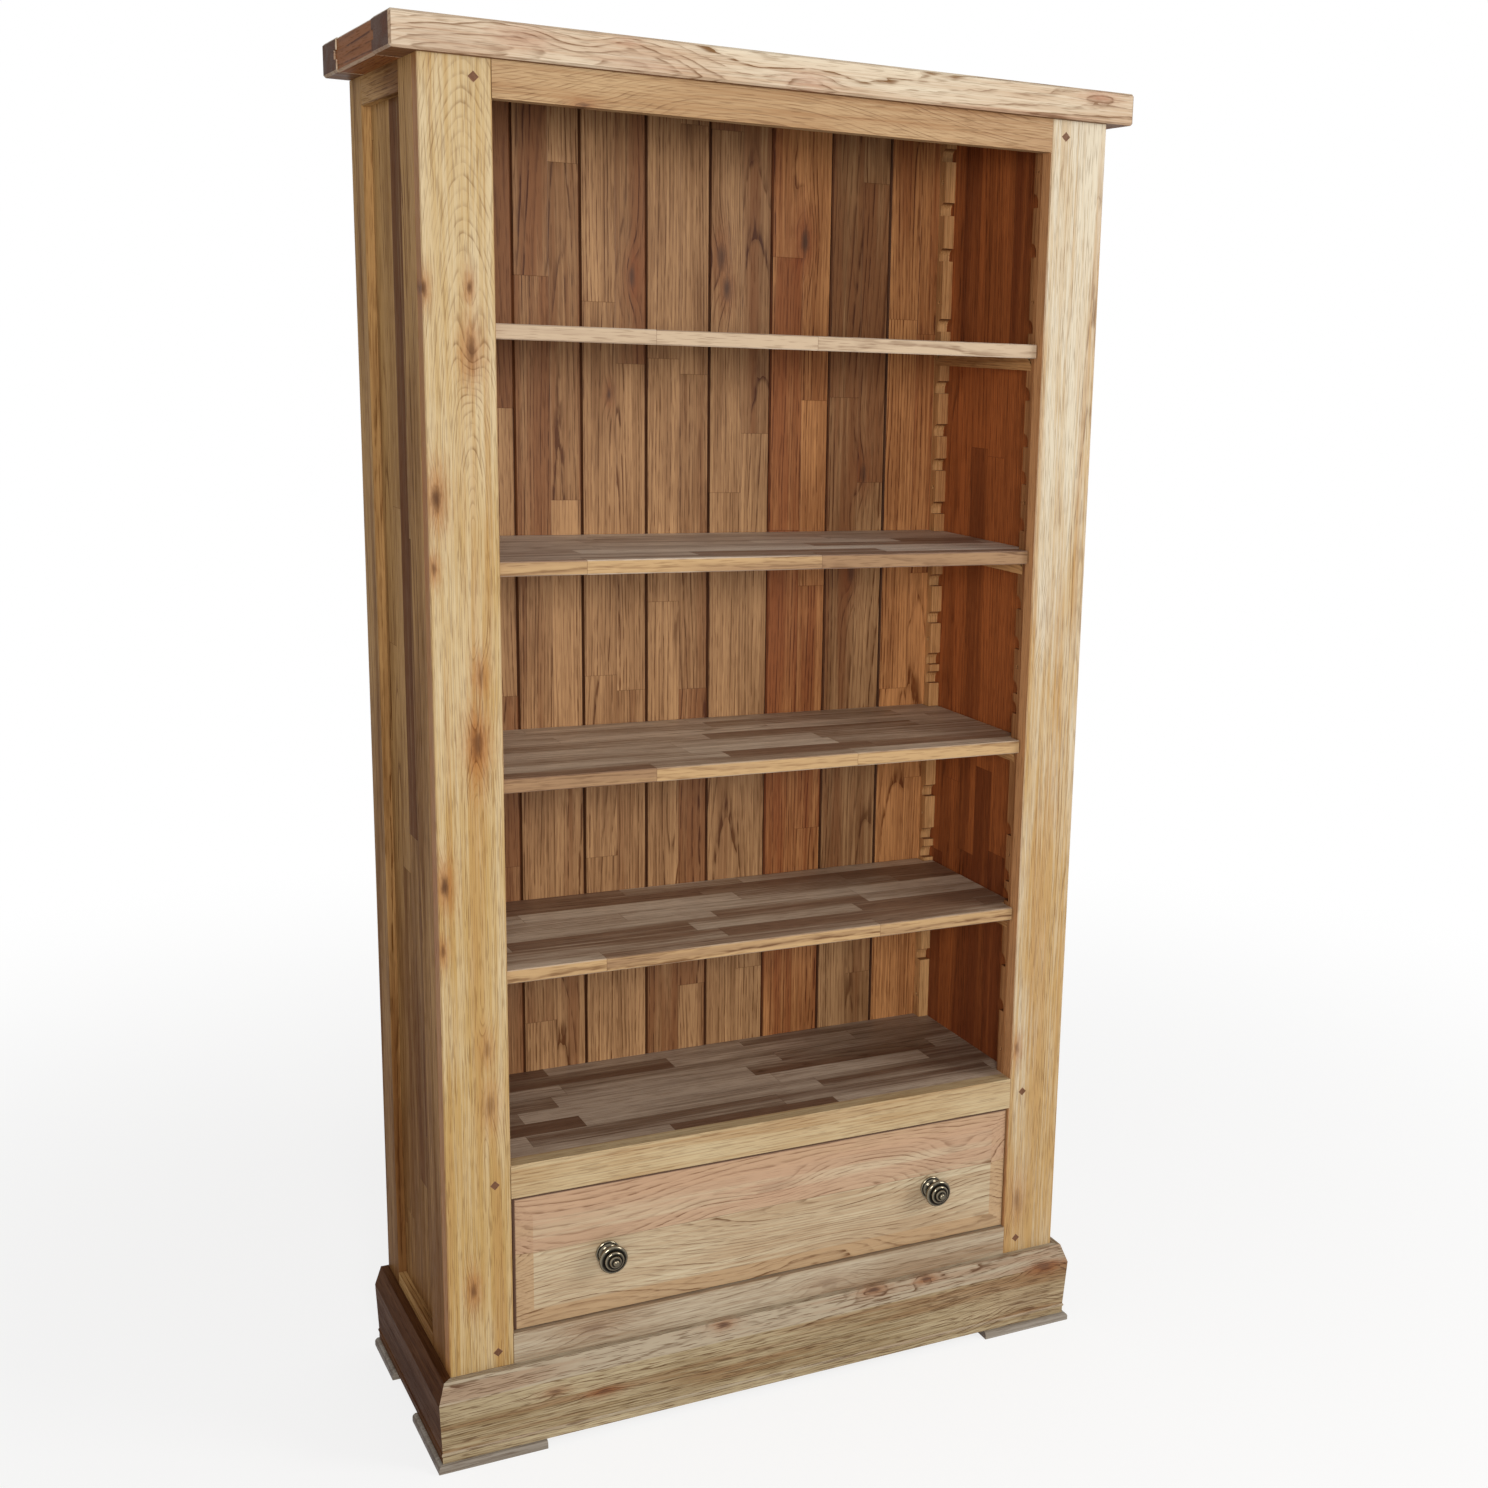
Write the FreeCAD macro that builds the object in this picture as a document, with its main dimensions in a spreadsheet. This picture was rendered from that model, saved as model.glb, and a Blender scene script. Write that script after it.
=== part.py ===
import FreeCAD, Part
import Sketcher
import math
import os
import re

# An oak bookcase with adjustable shelves on notched strips, a framed top,
# a mitred plinth on four moulded feet, and one drawer below the deck.
# Across is X, from front to back is Y, and up is Z, in millimetres. While it is
# laid out, X is 0 at the left side, Y is 0 at the front frame and Z is 0 at the floor.

doc = FreeCAD.newDocument("bookcase")
sheet = doc.addObject("Spreadsheet::Sheet", "dims")
sheet.Label = "driving dimensions"

SIZES = [
    ("case_width", 1000, "front frame, side to side"),
    ("case_depth", 380, "front frame to the back of the rear rails"),
    ("case_height", 1913, "floor to the underside of the top"),
    ("foot_height", 12, "thickness of the feet"),
    ("foot_reach", 25, "how far the feet stand out from the case"),
    ("foot_length", 158, "length of a front foot along the front and side"),
    ("rear_foot_length", 120, "length of a rear foot along the side"),
    ("foot_width", 82, "width of a foot, under the plinth and post"),
    ("foot_round", 6, "round along the outer top edge of the feet"),
    ("plinth_height", 122, "feet to the plinth's ledge"),
    ("plinth_thick", 22, "plinth board"),
    ("plinth_ledge", 12, "flat ledge along the top of the plinth"),
    ("plinth_bevel", 29, "height of the bevel below the ledge"),
    ("plinth_taper", 4, "how far the plinth's face leans in towards the bead"),
    ("plinth_bead", 5, "height of the bead along the foot of the plinth"),
    ("plinth_strip", 11, "plain strip below the bead"),
    ("frame_thick", 26, "stiles and rails of the front frame"),
    ("stile_width", 92, "front stile"),
    ("top_rail_height", 46, "rail under the top"),
    ("deck_rail_height", 50, "rail above the drawer"),
    ("bottom_rail_seen", 47, "rail above the plinth"),
    ("bottom_rail_hidden", 24, "the same rail, down behind the plinth"),
    ("drawer_opening", 209, "height between the two lower rails"),
    ("frame_ease", 1.5, "eased edges of the front frame"),
    ("tenon_thick", 10, "tenons of the front rails"),
    ("tenon_length", 40, "tenons of the front rails"),
    ("tenon_shoulder", 8, "shoulder above and below a tenon"),
    ("mortise_play", 1, "free depth at the end of a tenon"),
    ("peg_size", 10, "square pegs, set cornerwise"),
    ("peg_length", 22, "pegs"),
    ("peg_proud", 0.4, "how far the pegs stand out"),
    ("peg_inset", 23, "peg to the inner edge of the stile"),
    ("side_frame_thick", 54, "posts and rails of a side"),
    ("side_stile_width", 72, "side posts, front to back"),
    ("side_top_rail_height", 38, "upper rail of a side"),
    ("side_bottom_rail_seen", 20, "lower rail of a side, above the plinth"),
    ("side_bottom_rail_hidden", 90, "the same rail, down behind the plinth"),
    ("side_panel_thick", 18, "outer panel of a side"),
    ("side_panel_recess", 12, "panel behind the face of its frame"),
    ("panel_tongue", 10, "panel edge held in the frame's groove"),
    ("panel_play", 1, "free space at the bottom of the groove"),
    ("lining_thick", 20, "inner boards of a side"),
    ("back_board_thick", 16, "tongued boards of the back"),
    ("board_tongue", 6, "tongue of a back board"),
    ("board_tongue_thick", 5, "tongue of a back board"),
    ("board_bevel", 2.5, "bevelled edges that make the grooves of the back"),
    ("rear_rail_thick", 24, "rails behind the back boards"),
    ("rear_rail_height", 80, "rails behind the back boards"),
    ("slab_thick", 44, "top"),
    ("slab_side_overhang", 36, "top beyond the sides"),
    ("slab_front_overhang", 16, "top beyond the front frame"),
    ("slab_rear_setback", 6, "top short of the back"),
    ("slab_front_width", 92, "front board of the top"),
    ("slab_rear_width", 86, "rear board of the top"),
    ("slab_end_width", 92, "end boards of the top"),
    ("slab_end_setback", 2, "end boards short of the long boards' ends"),
    ("slab_tongue", 10, "tongues that join the boards of the top"),
    ("slab_tongue_thick", 12, "tongues that join the boards of the top"),
    ("slab_tongue_play", 1, "free depth at the end of those tongues"),
    ("slab_ease", 3, "eased edges of the top"),
    ("deck_thick", 20, "fixed shelf above the drawer"),
    ("deck_tongue", 8, "tongue into the deck rail"),
    ("deck_tongue_thick", 7, "tongue into the deck rail"),
    ("bearer_height", 24, "bearers under the deck"),
    ("strip_width", 18, "notched strips, side to side"),
    ("strip_depth", 19, "notched strips, front to back"),
    ("strip_top_gap", 6, "strips short of the top"),
    ("notch_depth", 13, "notches, which open into the bay"),
    ("notch_seat", 7, "straight back of a notch, below its scoop"),
    ("cleat_height", 18, "rests that carry the shelves"),
    ("cleat_play", 0.4, "clearance of a rest in its notches"),
    ("shelf_thick", 20, "shelves"),
    ("shelf_front_setback", 14, "shelf edge behind the face of the frame"),
    ("shelf_play", 3, "clearance of a shelf at its ends"),
    ("shelf_back_play", 1, "clearance of a shelf at the back"),
    ("shelf_ease", 1.5, "eased front edges of a shelf"),
    ("screw_head_radius", 3.3, "screws of the strips"),
    ("screw_head_height", 2.5, "screws of the strips"),
    ("screw_shank_radius", 2, "screws of the strips"),
    ("screw_length", 26, "screws of the strips"),
    ("screw_sink", 6, "head below the face of the strip"),
    ("screw_play", 0.15, "clearance round the screws"),
    ("runner_height", 20, "runners of the drawer"),
    ("runner_width", 44, "runners of the drawer"),
    ("guide_height", 22, "guides that stand on the runners"),
    ("drawer_gap", 2.5, "gap round the drawer front"),
    ("drawer_seat_gap", 0.3, "drawer sides above their runners"),
    ("drawer_front_thick", 22, "drawer front"),
    ("drawer_front_setback", 0.5, "drawer front behind the face of the frame"),
    ("drawer_bevel_width", 28, "bevel round the drawer front"),
    ("drawer_bevel_depth", 6, "bevel round the drawer front"),
    ("drawer_side_thick", 12, "drawer sides and back"),
    ("drawer_side_height", 150, "drawer sides"),
    ("drawer_side_length", 300, "drawer sides, behind the front"),
    ("drawer_lap", 12, "drawer sides let into the front"),
    ("tail_slant", 2, "how much the tails narrow at each edge"),
    ("drawer_bottom_thick", 6, "drawer bottom"),
    ("drawer_groove_depth", 6, "groove for the drawer bottom"),
    ("drawer_groove_height", 10, "lower edge of the sides to the groove"),
    ("drawer_back_inset", 12, "drawer back in front of the sides' ends"),
    ("knob_spacing", 535, "knob to knob"),
    ("knob_height", 98, "knobs above the drawer opening's floor"),
    ("knob_radius", 21.5, "widest ring of a knob"),
    ("knob_reach", 43, "knob in front of the drawer front"),
    ("knob_screw_radius", 2, "screws of the knobs"),
    ("knob_screw_grip", 20, "thread inside a knob"),
    ("knob_screw_head_radius", 4.5, "screws of the knobs"),
    ("knob_screw_head_height", 3, "screws of the knobs"),
]

# Places that follow from the sizes, in the same words.
PLACES = {
    "plinth_top": "foot_height + plinth_height",
    "drawer_floor": "plinth_top + bottom_rail_seen",
    "deck_rail_low": "drawer_floor + drawer_opening",
    "deck_top": "deck_rail_low + deck_rail_height",
    "deck_low": "deck_top - deck_thick",
    "post_height": "case_height - foot_height",
    "opening_top": "case_height - top_rail_height",
    "opening_width": "case_width - 2 * stile_width",
    "inner_wall": "side_frame_thick + lining_thick",
    "bay_width": "case_width - 2 * inner_wall",
    "back_face": "case_depth - rear_rail_thick - back_board_thick",
    "inner_depth": "back_face - frame_thick",
    "back_width": "case_width - 2 * side_frame_thick",
    "side_length": "case_depth - frame_thick",
    "side_panel_width": "side_length - 2 * side_stile_width",
    "side_rail_top": "plinth_top + side_bottom_rail_seen",
    "side_panel_height": "case_height - side_top_rail_height - side_rail_top",
    "strip_length": "case_height - strip_top_gap - deck_top",
    "notch_height": "notch_seat + notch_depth",
    "drawer_width": "opening_width - 2 * drawer_gap",
    "drawer_height": "drawer_opening - 2 * drawer_gap",
    "side_foot": "drawer_floor + drawer_seat_gap",
    "front_back": "drawer_front_setback + drawer_front_thick",
    "slab_length": "case_width + 2 * slab_side_overhang",
    "slab_rail_length": "slab_depth - slab_front_width - slab_rear_width",
    "slab_depth": "case_depth + slab_front_overhang - slab_rear_setback",
    "middle_y": "(case_depth - knob_reach + drawer_front_setback) / 2",
}

# The strips' notches, from the deck up, as shares of a strip's length, and the
# notches that the four shelves use, counted from the lowest.
NOTCH_SHARES = (0.0708, 0.1227, 0.1677, 0.1970, 0.2190, 0.2706, 0.3524, 0.4045, 0.4260, 0.4735,
                0.5160, 0.5530, 0.5980, 0.6460, 0.6840, 0.7310, 0.7614, 0.7980, 0.8730, 0.9210, 0.9770)
SHELF_NOTCHES = (16, 11, 6, 2)
SCREW_SHARES = (0.027, 0.250, 0.455, 0.627, 0.829, 0.956)
SCREW_SIDES = 6
# The tails at the front end of a drawer side, from edge to edge, as shares of its height.
TAIL_SHARES = ((0.08, 0.32), (0.38, 0.62), (0.68, 0.92))
# The back boards' widths as shares of one full board: the outer two are sawn to fit.
FULL_BOARD_SHARES = 1.0
BACK_BOARD_SHARES = (0.557,) + (FULL_BOARD_SHARES,) * 8 + (0.231,)

for row, (name, value, note) in enumerate(SIZES, start=1):
    sheet.set(f"A{row}", name)
    sheet.set(f"B{row}", str(value))
    sheet.setAlias(f"B{row}", name)
    sheet.set(f"C{row}", note)
doc.recompute()

pieces = []


def cells(text):
    """Write a size given in plain words as an expression on the sheet's cells."""
    def swap(match):
        word = match.group(0)
        return f"({cells(PLACES[word])})" if word in PLACES else f"dims.{word}"
    return re.sub(r"\b[a-z][a-z_]+\b(?!\()", swap, text)


def size(text):
    """The present value of a size given in plain words."""
    return float(sheet.evalExpression(cells(text)))


def bind(thing, **sizes):
    """Tie an object's properties to the sheet."""
    for name, text in sizes.items():
        thing.setExpression(name, cells(text))


def place(thing, across="0", back="0", up="0"):
    """Stand an object at a place inside its own body or group."""
    for axis, text in zip("xyz", (across, back, up)):
        thing.setExpression(f"Placement.Base.{axis}", cells(text))
    return thing


def finish(piece, label, across="0", back="0", up="0"):
    """Name a finished sub-part and stand it in the bookcase, whose origin is below its middle."""
    piece.Label = label
    place(piece, f"{across} - case_width / 2", f"{back} - middle_y", up)
    pieces.append(piece)
    return piece


def new_body(name):
    return doc.addObject("PartDesign::Body", name)


def plane(body, role):
    return next(part for part in body.Origin.OriginFeatures if part.Role == role)


def sketch(body, role, offset="0"):
    """An empty sketch on one of the body's own planes."""
    drawing = body.newObject("Sketcher::SketchObject", "Outline")
    drawing.AttachmentSupport = (plane(body, role), [""])
    drawing.MapMode = "FlatFace"
    drawing.setExpression("AttachmentOffset.Base.z", cells(offset))
    return drawing


def hold(drawing, kind, *target, to):
    """Add one dimension to a sketch and tie it to the sheet."""
    index = drawing.addConstraint(Sketcher.Constraint(kind, *target, size(to)))
    drawing.setExpression(f"Constraints[{index}]", cells(to))


def round_edge(start, end, radius):
    """The arc from start to end, with its centre on the left for a positive radius."""
    half = (end - start) / 2
    across = FreeCAD.Vector(-half.y, half.x, 0).normalize()
    rise = math.sqrt(max(radius * radius - half.Length ** 2, 0))
    centre = start + half + across * math.copysign(rise, radius)
    first, last = (start, end) if radius > 0 else (end, start)
    turns = [math.atan2(point.y - centre.y, point.x - centre.x) for point in (first, last)]
    return Part.ArcOfCircle(Part.Circle(centre, FreeCAD.Vector(0, 0, 1), abs(radius)), *turns)


def outline(drawing, points):
    """Draw a closed outline. A point with a third entry ends a round edge of that radius."""
    places = [FreeCAD.Vector(size(point[0]), size(point[1]), 0) for point in points]
    edges = []
    for index, start in enumerate(places):
        ahead = (index + 1) % len(points)
        bend = points[ahead][2] if len(points[ahead]) > 2 else None
        if bend is None:
            edge = drawing.addGeometry(Part.LineSegment(start, places[ahead]), False)
            edges.append((edge, 1, 2))
            continue
        radius = size(bend)
        edge = drawing.addGeometry(round_edge(start, places[ahead], radius), False)
        edges.append((edge, 1, 2) if radius > 0 else (edge, 2, 1))
        hold(drawing, "Radius", edge, to=bend if radius > 0 else f"-({bend})")
    for index, (edge, start, end) in enumerate(edges):
        following, next_start, _ = edges[(index + 1) % len(edges)]
        drawing.addConstraint(Sketcher.Constraint("Coincident", edge, end, following, next_start))
        hold(drawing, "DistanceX", -1, 1, edge, start, to=points[index][0])
        hold(drawing, "DistanceY", -1, 1, edge, start, to=points[index][1])


def corners(across, along, wide, long):
    """The four corners of a rectangle from its lower left corner."""
    return [(across, along), (f"{across} + {wide}", along),
            (f"{across} + {wide}", f"{along} + {long}"), (across, f"{along} + {long}")]


def facets(drawing, across, along, radius):
    """A round hole or bar of few faces, for what is small and repeated."""
    turns = [2 * math.pi * step / SCREW_SIDES for step in range(SCREW_SIDES)]
    outline(drawing, [(f"{across} + {math.cos(turn):.6f} * ({radius})",
                       f"{along} + {math.sin(turn):.6f} * ({radius})") for turn in turns])


def pad(body, drawing, length, back=False):
    """Give an outline its thickness."""
    feature = body.newObject("PartDesign::Pad", "Pad")
    feature.Profile = drawing
    feature.Reversed = back
    bind(feature, Length=length)
    doc.recompute()
    return feature


def pocket(body, drawing, depth=None, back=False):
    """Cut an outline into the body: to a depth, or right through where none is given."""
    before = body.Shape.Volume
    feature = body.newObject("PartDesign::Pocket", "Pocket")
    feature.Profile = drawing
    if depth is None:
        feature.SideType = "Symmetric"
        feature.Type = "ThroughAll"
    else:
        feature.Reversed = back
        bind(feature, Length=depth)
    doc.recompute()
    if body.Shape.Volume >= before:
        raise RuntimeError(f"a pocket in {body.Name} cuts nothing")
    return feature


def block(body, name, kind, across, back, up, wide, deep, high):
    """A plain block that is added to the body or taken out of it."""
    feature = body.newObject(f"PartDesign::{kind}Box", name)
    bind(feature, Length=wide, Width=deep, Height=high)
    place(feature, across, back, up)
    doc.recompute()
    return feature


def board(name, wide, deep, high):
    """A body that starts as a sawn board with its corner at the body's origin."""
    body = new_body(name)
    block(body, "Board", "Additive", "0", "0", "0", wide, deep, high)
    return body


def ease(body, amount, wanted):
    """Take the sharpness off the straight edges that the test picks by middle point and direction."""
    feature = body.Tip
    names = []
    for number, edge in enumerate(feature.Shape.Edges, start=1):
        if edge.Curve.TypeId != "Part::GeomLine":
            continue
        middle = (edge.Vertexes[0].Point + edge.Vertexes[-1].Point) / 2
        if wanted(middle, edge.tangentAt(edge.FirstParameter)):
            names.append(f"Edge{number}")
    if not names:
        raise RuntimeError(f"no edges to ease on {body.Name}")
    cut = body.newObject("PartDesign::Chamfer", "Ease")
    cut.Base = (feature, names)
    bind(cut, Size=amount)
    doc.recompute()
    return cut


def near(value, text):
    """Whether a coordinate lies at a size given in plain words."""
    return abs(value - size(text)) < size("frame_ease") / 10


def copy_of(master, across="0", back="0", up="0", turn=0):
    """Another piece of the same shape, turned about the upright axis."""
    copy = doc.addObject("Part::Compound", "Copy")
    copy.Links = [master]
    copy.Placement.Rotation = FreeCAD.Rotation(FreeCAD.Vector(0, 0, 1), turn)
    return place(copy, across, back, up)


def group(label, members):
    """Several like pieces that share one name."""
    compound = doc.addObject("Part::Compound", label)
    compound.Links = members
    return finish(compound, label)


# Front frame: two stiles from the feet to the top, and three rails whose tenons
# are held in the stiles by square pegs set cornerwise.

RAILS = {
    "top_front_rail": ("opening_top", "top_rail_height", "case_height - top_rail_height / 2"),
    "deck_front_rail": ("deck_rail_low", "deck_rail_height", "deck_rail_low + deck_rail_height / 2"),
    "bottom_front_rail": ("plinth_top - bottom_rail_hidden", "bottom_rail_hidden + bottom_rail_seen",
                          "plinth_top + bottom_rail_seen / 2"),
}
TENON_BACK = "(frame_thick - tenon_thick) / 2"


def diamond(drawing, across, up):
    """A square hole set cornerwise, for a peg."""
    half = "peg_size * sqrt(2) / 2"
    outline(drawing, [(f"{across} - {half}", up), (across, f"{up} - {half}"),
                      (f"{across} + {half}", up), (across, f"{up} + {half}")])


def front_stile(label, across, inner_edge, mortise_start, peg_across):
    stile = board(label, "stile_width", "frame_thick", "post_height")
    for name, (low, height, _) in RAILS.items():
        block(stile, "Mortise", "Subtractive", mortise_start, TENON_BACK,
              f"{low} + tenon_shoulder - foot_height", "tenon_length + mortise_play", "tenon_thick",
              f"{height} - 2 * tenon_shoulder")
    holes = sketch(stile, "XZ_Plane")
    for _, _, peg_up in RAILS.values():
        diamond(holes, peg_across, f"{peg_up} - foot_height")
    pocket(stile, holes, "peg_length - peg_proud", back=False)
    ease(stile, "frame_ease", lambda middle, way: abs(way.z) > abs(way.x) + abs(way.y)
         and (near(middle.x, inner_edge) or near(middle.y, "0"))
         and near(middle.z, "post_height / 2"))
    return finish(stile, label, across, "0", "foot_height")


def front_rail(label):
    low, height, peg_up = RAILS[label]
    rail = board(label, "opening_width", "frame_thick", height)
    block(rail, "Tenons", "Additive", "-tenon_length", TENON_BACK, "tenon_shoulder",
          "opening_width + 2 * tenon_length", "tenon_thick", f"{height} - 2 * tenon_shoulder")
    holes = sketch(rail, "XZ_Plane")
    diamond(holes, "-peg_inset", f"{peg_up} - ({low})")
    diamond(holes, "opening_width + peg_inset", f"{peg_up} - ({low})")
    pocket(rail, holes, "peg_length - peg_proud", back=False)
    if label == "deck_front_rail":
        block(rail, "Groove", "Subtractive", "0", "frame_thick - deck_tongue",
              f"deck_low + (deck_thick - deck_tongue_thick) / 2 - ({low})",
              "opening_width", "deck_tongue", "deck_tongue_thick")
    return finish(rail, label, "stile_width", "0", low)


front_stile("left_front_stile", "0", "stile_width", "stile_width - tenon_length - mortise_play",
            "stile_width - peg_inset")
front_stile("right_front_stile", "case_width - stile_width", "0", "0", "peg_inset")
for rail_name in RAILS:
    front_rail(rail_name)

pegs = []
for _, _, up in RAILS.values():
    for across in ("stile_width - peg_inset", "case_width - stile_width + peg_inset"):
        peg = new_body("Peg")
        square = sketch(peg, "XZ_Plane")
        diamond(square, "0", "0")
        pad(peg, square, "peg_length", back=True)
        ease(peg, "peg_proud", lambda middle, way: near(middle.y, "0"))
        pegs.append(place(peg, across, "-peg_proud", up))
group("front_pegs", pegs)

# Sides: posts and rails with a recessed outer panel, and a flat lining of boards
# inside that the notched strips are screwed to.

PANEL_PLAY = "panel_tongue + panel_play"
PILOT_RADIUS = "screw_shank_radius + screw_play"


lining = board("Lining", "lining_thick", "inner_depth", "post_height")
for share in SCREW_SHARES:
    pilots = sketch(lining, "YZ_Plane")
    for back in ("strip_depth / 2", "inner_depth - strip_depth / 2"):
        facets(pilots, back, f"deck_top - foot_height + {share} * strip_length", PILOT_RADIUS)
    pocket(lining, pilots)


def side(hand, mirrored):
    """One side. The right one is laid out from its outer face, looking the other way."""
    def across(start, wide):
        return f"case_width - ({start}) - ({wide})" if mirrored else start

    groove = "side_panel_recess"
    outer = "0"
    if mirrored:
        groove = "side_frame_thick - side_panel_recess - side_panel_thick"
        outer = "side_frame_thick"
    for name, back, groove_back in (("front", "frame_thick", f"side_stile_width - ({PANEL_PLAY})"),
                                    ("rear", "case_depth - side_stile_width", "0")):
        post = board(f"{hand}_side_{name}_post", "side_frame_thick", "side_stile_width", "post_height")
        block(post, "Groove", "Subtractive", groove, groove_back,
              f"side_rail_top - foot_height - ({PANEL_PLAY})", "side_panel_thick", PANEL_PLAY,
              f"side_panel_height + 2 * ({PANEL_PLAY})")
        ease(post, "frame_ease", lambda middle, way: abs(way.z) > abs(way.x) + abs(way.y)
             and near(middle.x, outer) and near(middle.z, "post_height / 2"))
        finish(post, f"{hand}_side_{name}_post", across("0", "side_frame_thick"), back, "foot_height")
    low_rail = "side_bottom_rail_hidden + side_bottom_rail_seen"
    for name, up, high, groove_up in (
            ("top", "case_height - side_top_rail_height", "side_top_rail_height", "0"),
            ("bottom", "plinth_top - side_bottom_rail_hidden", low_rail, f"{low_rail} - ({PANEL_PLAY})")):
        rail = board(f"{hand}_side_{name}_rail", "side_frame_thick", "side_panel_width", high)
        block(rail, "Groove", "Subtractive", groove, "0", groove_up,
              "side_panel_thick", "side_panel_width", PANEL_PLAY)
        finish(rail, f"{hand}_side_{name}_rail", across("0", "side_frame_thick"),
               "frame_thick + side_stile_width", up)
    panel = board(f"{hand}_side_panel", "side_panel_thick", "side_panel_width + 2 * panel_tongue",
                  "side_panel_height + 2 * panel_tongue")
    finish(panel, f"{hand}_side_panel", across("side_panel_recess", "side_panel_thick"),
           "frame_thick + side_stile_width - panel_tongue", "side_rail_top - panel_tongue")
    finish(copy_of(lining), f"{hand}_side_lining", across("side_frame_thick", "lining_thick"),
           "frame_thick", "foot_height")


side("left", False)
side("right", True)

# Back: upright boards with tongues and grooves, whose bevelled edges show as dark
# lines inside, nailed to two rails behind them.

BOARD_UNIT = f"back_width / {sum(BACK_BOARD_SHARES)}"
TONGUE_BACK = "(back_board_thick - board_tongue_thick) / 2"
passed_shares = 0
for number, share in enumerate(BACK_BOARD_SHARES, start=1):
    first = number == 1
    last = number == len(BACK_BOARD_SHARES)
    wide = f"{share} * {BOARD_UNIT}"
    plank = new_body(f"back_board_{number}")
    edge = sketch(plank, "XY_Plane")
    left_bevel = [("0", "0")] if first else [("0", "board_bevel"), ("board_bevel", "0")]
    right_bevel = [(wide, "0")] if last else [(f"{wide} - board_bevel", "0"), (wide, "board_bevel")]
    tongue = [] if last else [(wide, TONGUE_BACK), (f"{wide} + board_tongue", TONGUE_BACK),
                              (f"{wide} + board_tongue", f"{TONGUE_BACK} + board_tongue_thick"),
                              (wide, f"{TONGUE_BACK} + board_tongue_thick")]
    groove = [] if first else [("0", f"{TONGUE_BACK} + board_tongue_thick"),
                               ("board_tongue", f"{TONGUE_BACK} + board_tongue_thick"),
                               ("board_tongue", TONGUE_BACK), ("0", TONGUE_BACK)]
    rear_face = [(wide, "back_board_thick"), ("0", "back_board_thick")]
    outline(edge, left_bevel + right_bevel + tongue + rear_face + groove)
    pad(plank, edge, "case_height - plinth_top + bottom_rail_hidden")
    finish(plank, f"back_board_{number}", f"side_frame_thick + {passed_shares} * {BOARD_UNIT}",
           "back_face", "plinth_top - bottom_rail_hidden")
    passed_shares += share

for name, up in (("rear_top_rail", "case_height - rear_rail_height"),
                 ("rear_bottom_rail", "plinth_top - bottom_rail_hidden")):
    finish(board(name, "back_width", "rear_rail_thick", "rear_rail_height"), name,
           "side_frame_thick", "case_depth - rear_rail_thick", up)

# Top: a framed slab, with the front and rear boards running through and the end
# boards and middle tongued between them.


def slab_board(label, across, back, wide, deep, tongue_sides, groove_side, eased):
    """A board of the top, with tongues or a groove at half its thickness."""
    plank = board(label, wide, deep, "slab_thick")
    low = "(slab_thick - slab_tongue_thick) / 2"
    for start_x, start_y, long_x, long_y in tongue_sides:
        block(plank, "Tongue", "Additive", start_x, start_y, low, long_x, long_y, "slab_tongue_thick")
    for start_x, start_y, long_x, long_y in groove_side:
        block(plank, "Groove", "Subtractive", start_x, start_y, low, long_x, long_y, "slab_tongue_thick")
    ease(plank, "slab_ease", eased)
    return finish(plank, label, across, back, "case_height")


GROOVE_WIDE = "slab_tongue + slab_tongue_play"
END_LENGTH = "slab_end_width - slab_end_setback"


def on_outside(middle):
    return near(middle.z, "0") or near(middle.z, "slab_thick")


def upright(way):
    return abs(way.z) > abs(way.x) + abs(way.y)


slab_board("top_front_board", "-slab_side_overhang", "-slab_front_overhang",
           "slab_length", "slab_front_width",
           [], [("0", f"slab_front_width - ({GROOVE_WIDE})", "slab_length", GROOVE_WIDE)],
           lambda middle, way: on_outside(middle) or (upright(way) and near(middle.y, "0")))
slab_board("top_rear_board", "-slab_side_overhang", "case_depth - slab_rear_setback - slab_rear_width",
           "slab_length", "slab_rear_width",
           [], [("0", "0", "slab_length", GROOVE_WIDE)],
           lambda middle, way: on_outside(middle) or (upright(way) and near(middle.y, "slab_rear_width")))
for label, across, groove_x in (
        ("top_left_end_board", "slab_end_setback - slab_side_overhang", f"{END_LENGTH} - ({GROOVE_WIDE})"),
        ("top_right_end_board", "case_width + slab_side_overhang - slab_end_width", "0")):
    slab_board(label, across, "slab_front_width - slab_front_overhang", END_LENGTH, "slab_rail_length",
               [("0", "-slab_tongue", END_LENGTH, "slab_rail_length + 2 * slab_tongue")],
               [(groove_x, "-slab_tongue", GROOVE_WIDE, "slab_rail_length + 2 * slab_tongue")],
               lambda middle, way: on_outside(middle))
MIDDLE_WIDE = "slab_length - 2 * slab_end_width"
slab_board("top_middle_panel", "slab_end_width - slab_side_overhang",
           "slab_front_width - slab_front_overhang", MIDDLE_WIDE, "slab_rail_length",
           [("0", "-slab_tongue", MIDDLE_WIDE, "slab_rail_length + 2 * slab_tongue"),
            ("-slab_tongue", "0", f"{MIDDLE_WIDE} + 2 * slab_tongue", "slab_rail_length")], [],
           lambda middle, way: near(middle.z, "slab_thick"))

# Deck: the fixed shelf above the drawer, tongued into the deck rail, on a bearer at each side.

deck = board("deck", "bay_width", "inner_depth", "deck_thick")
block(deck, "Tongue", "Additive", "stile_width - inner_wall", "-deck_tongue",
      "(deck_thick - deck_tongue_thick) / 2", "opening_width", "deck_tongue", "deck_tongue_thick")
finish(deck, "deck", "inner_wall", "frame_thick", "deck_low")

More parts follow.
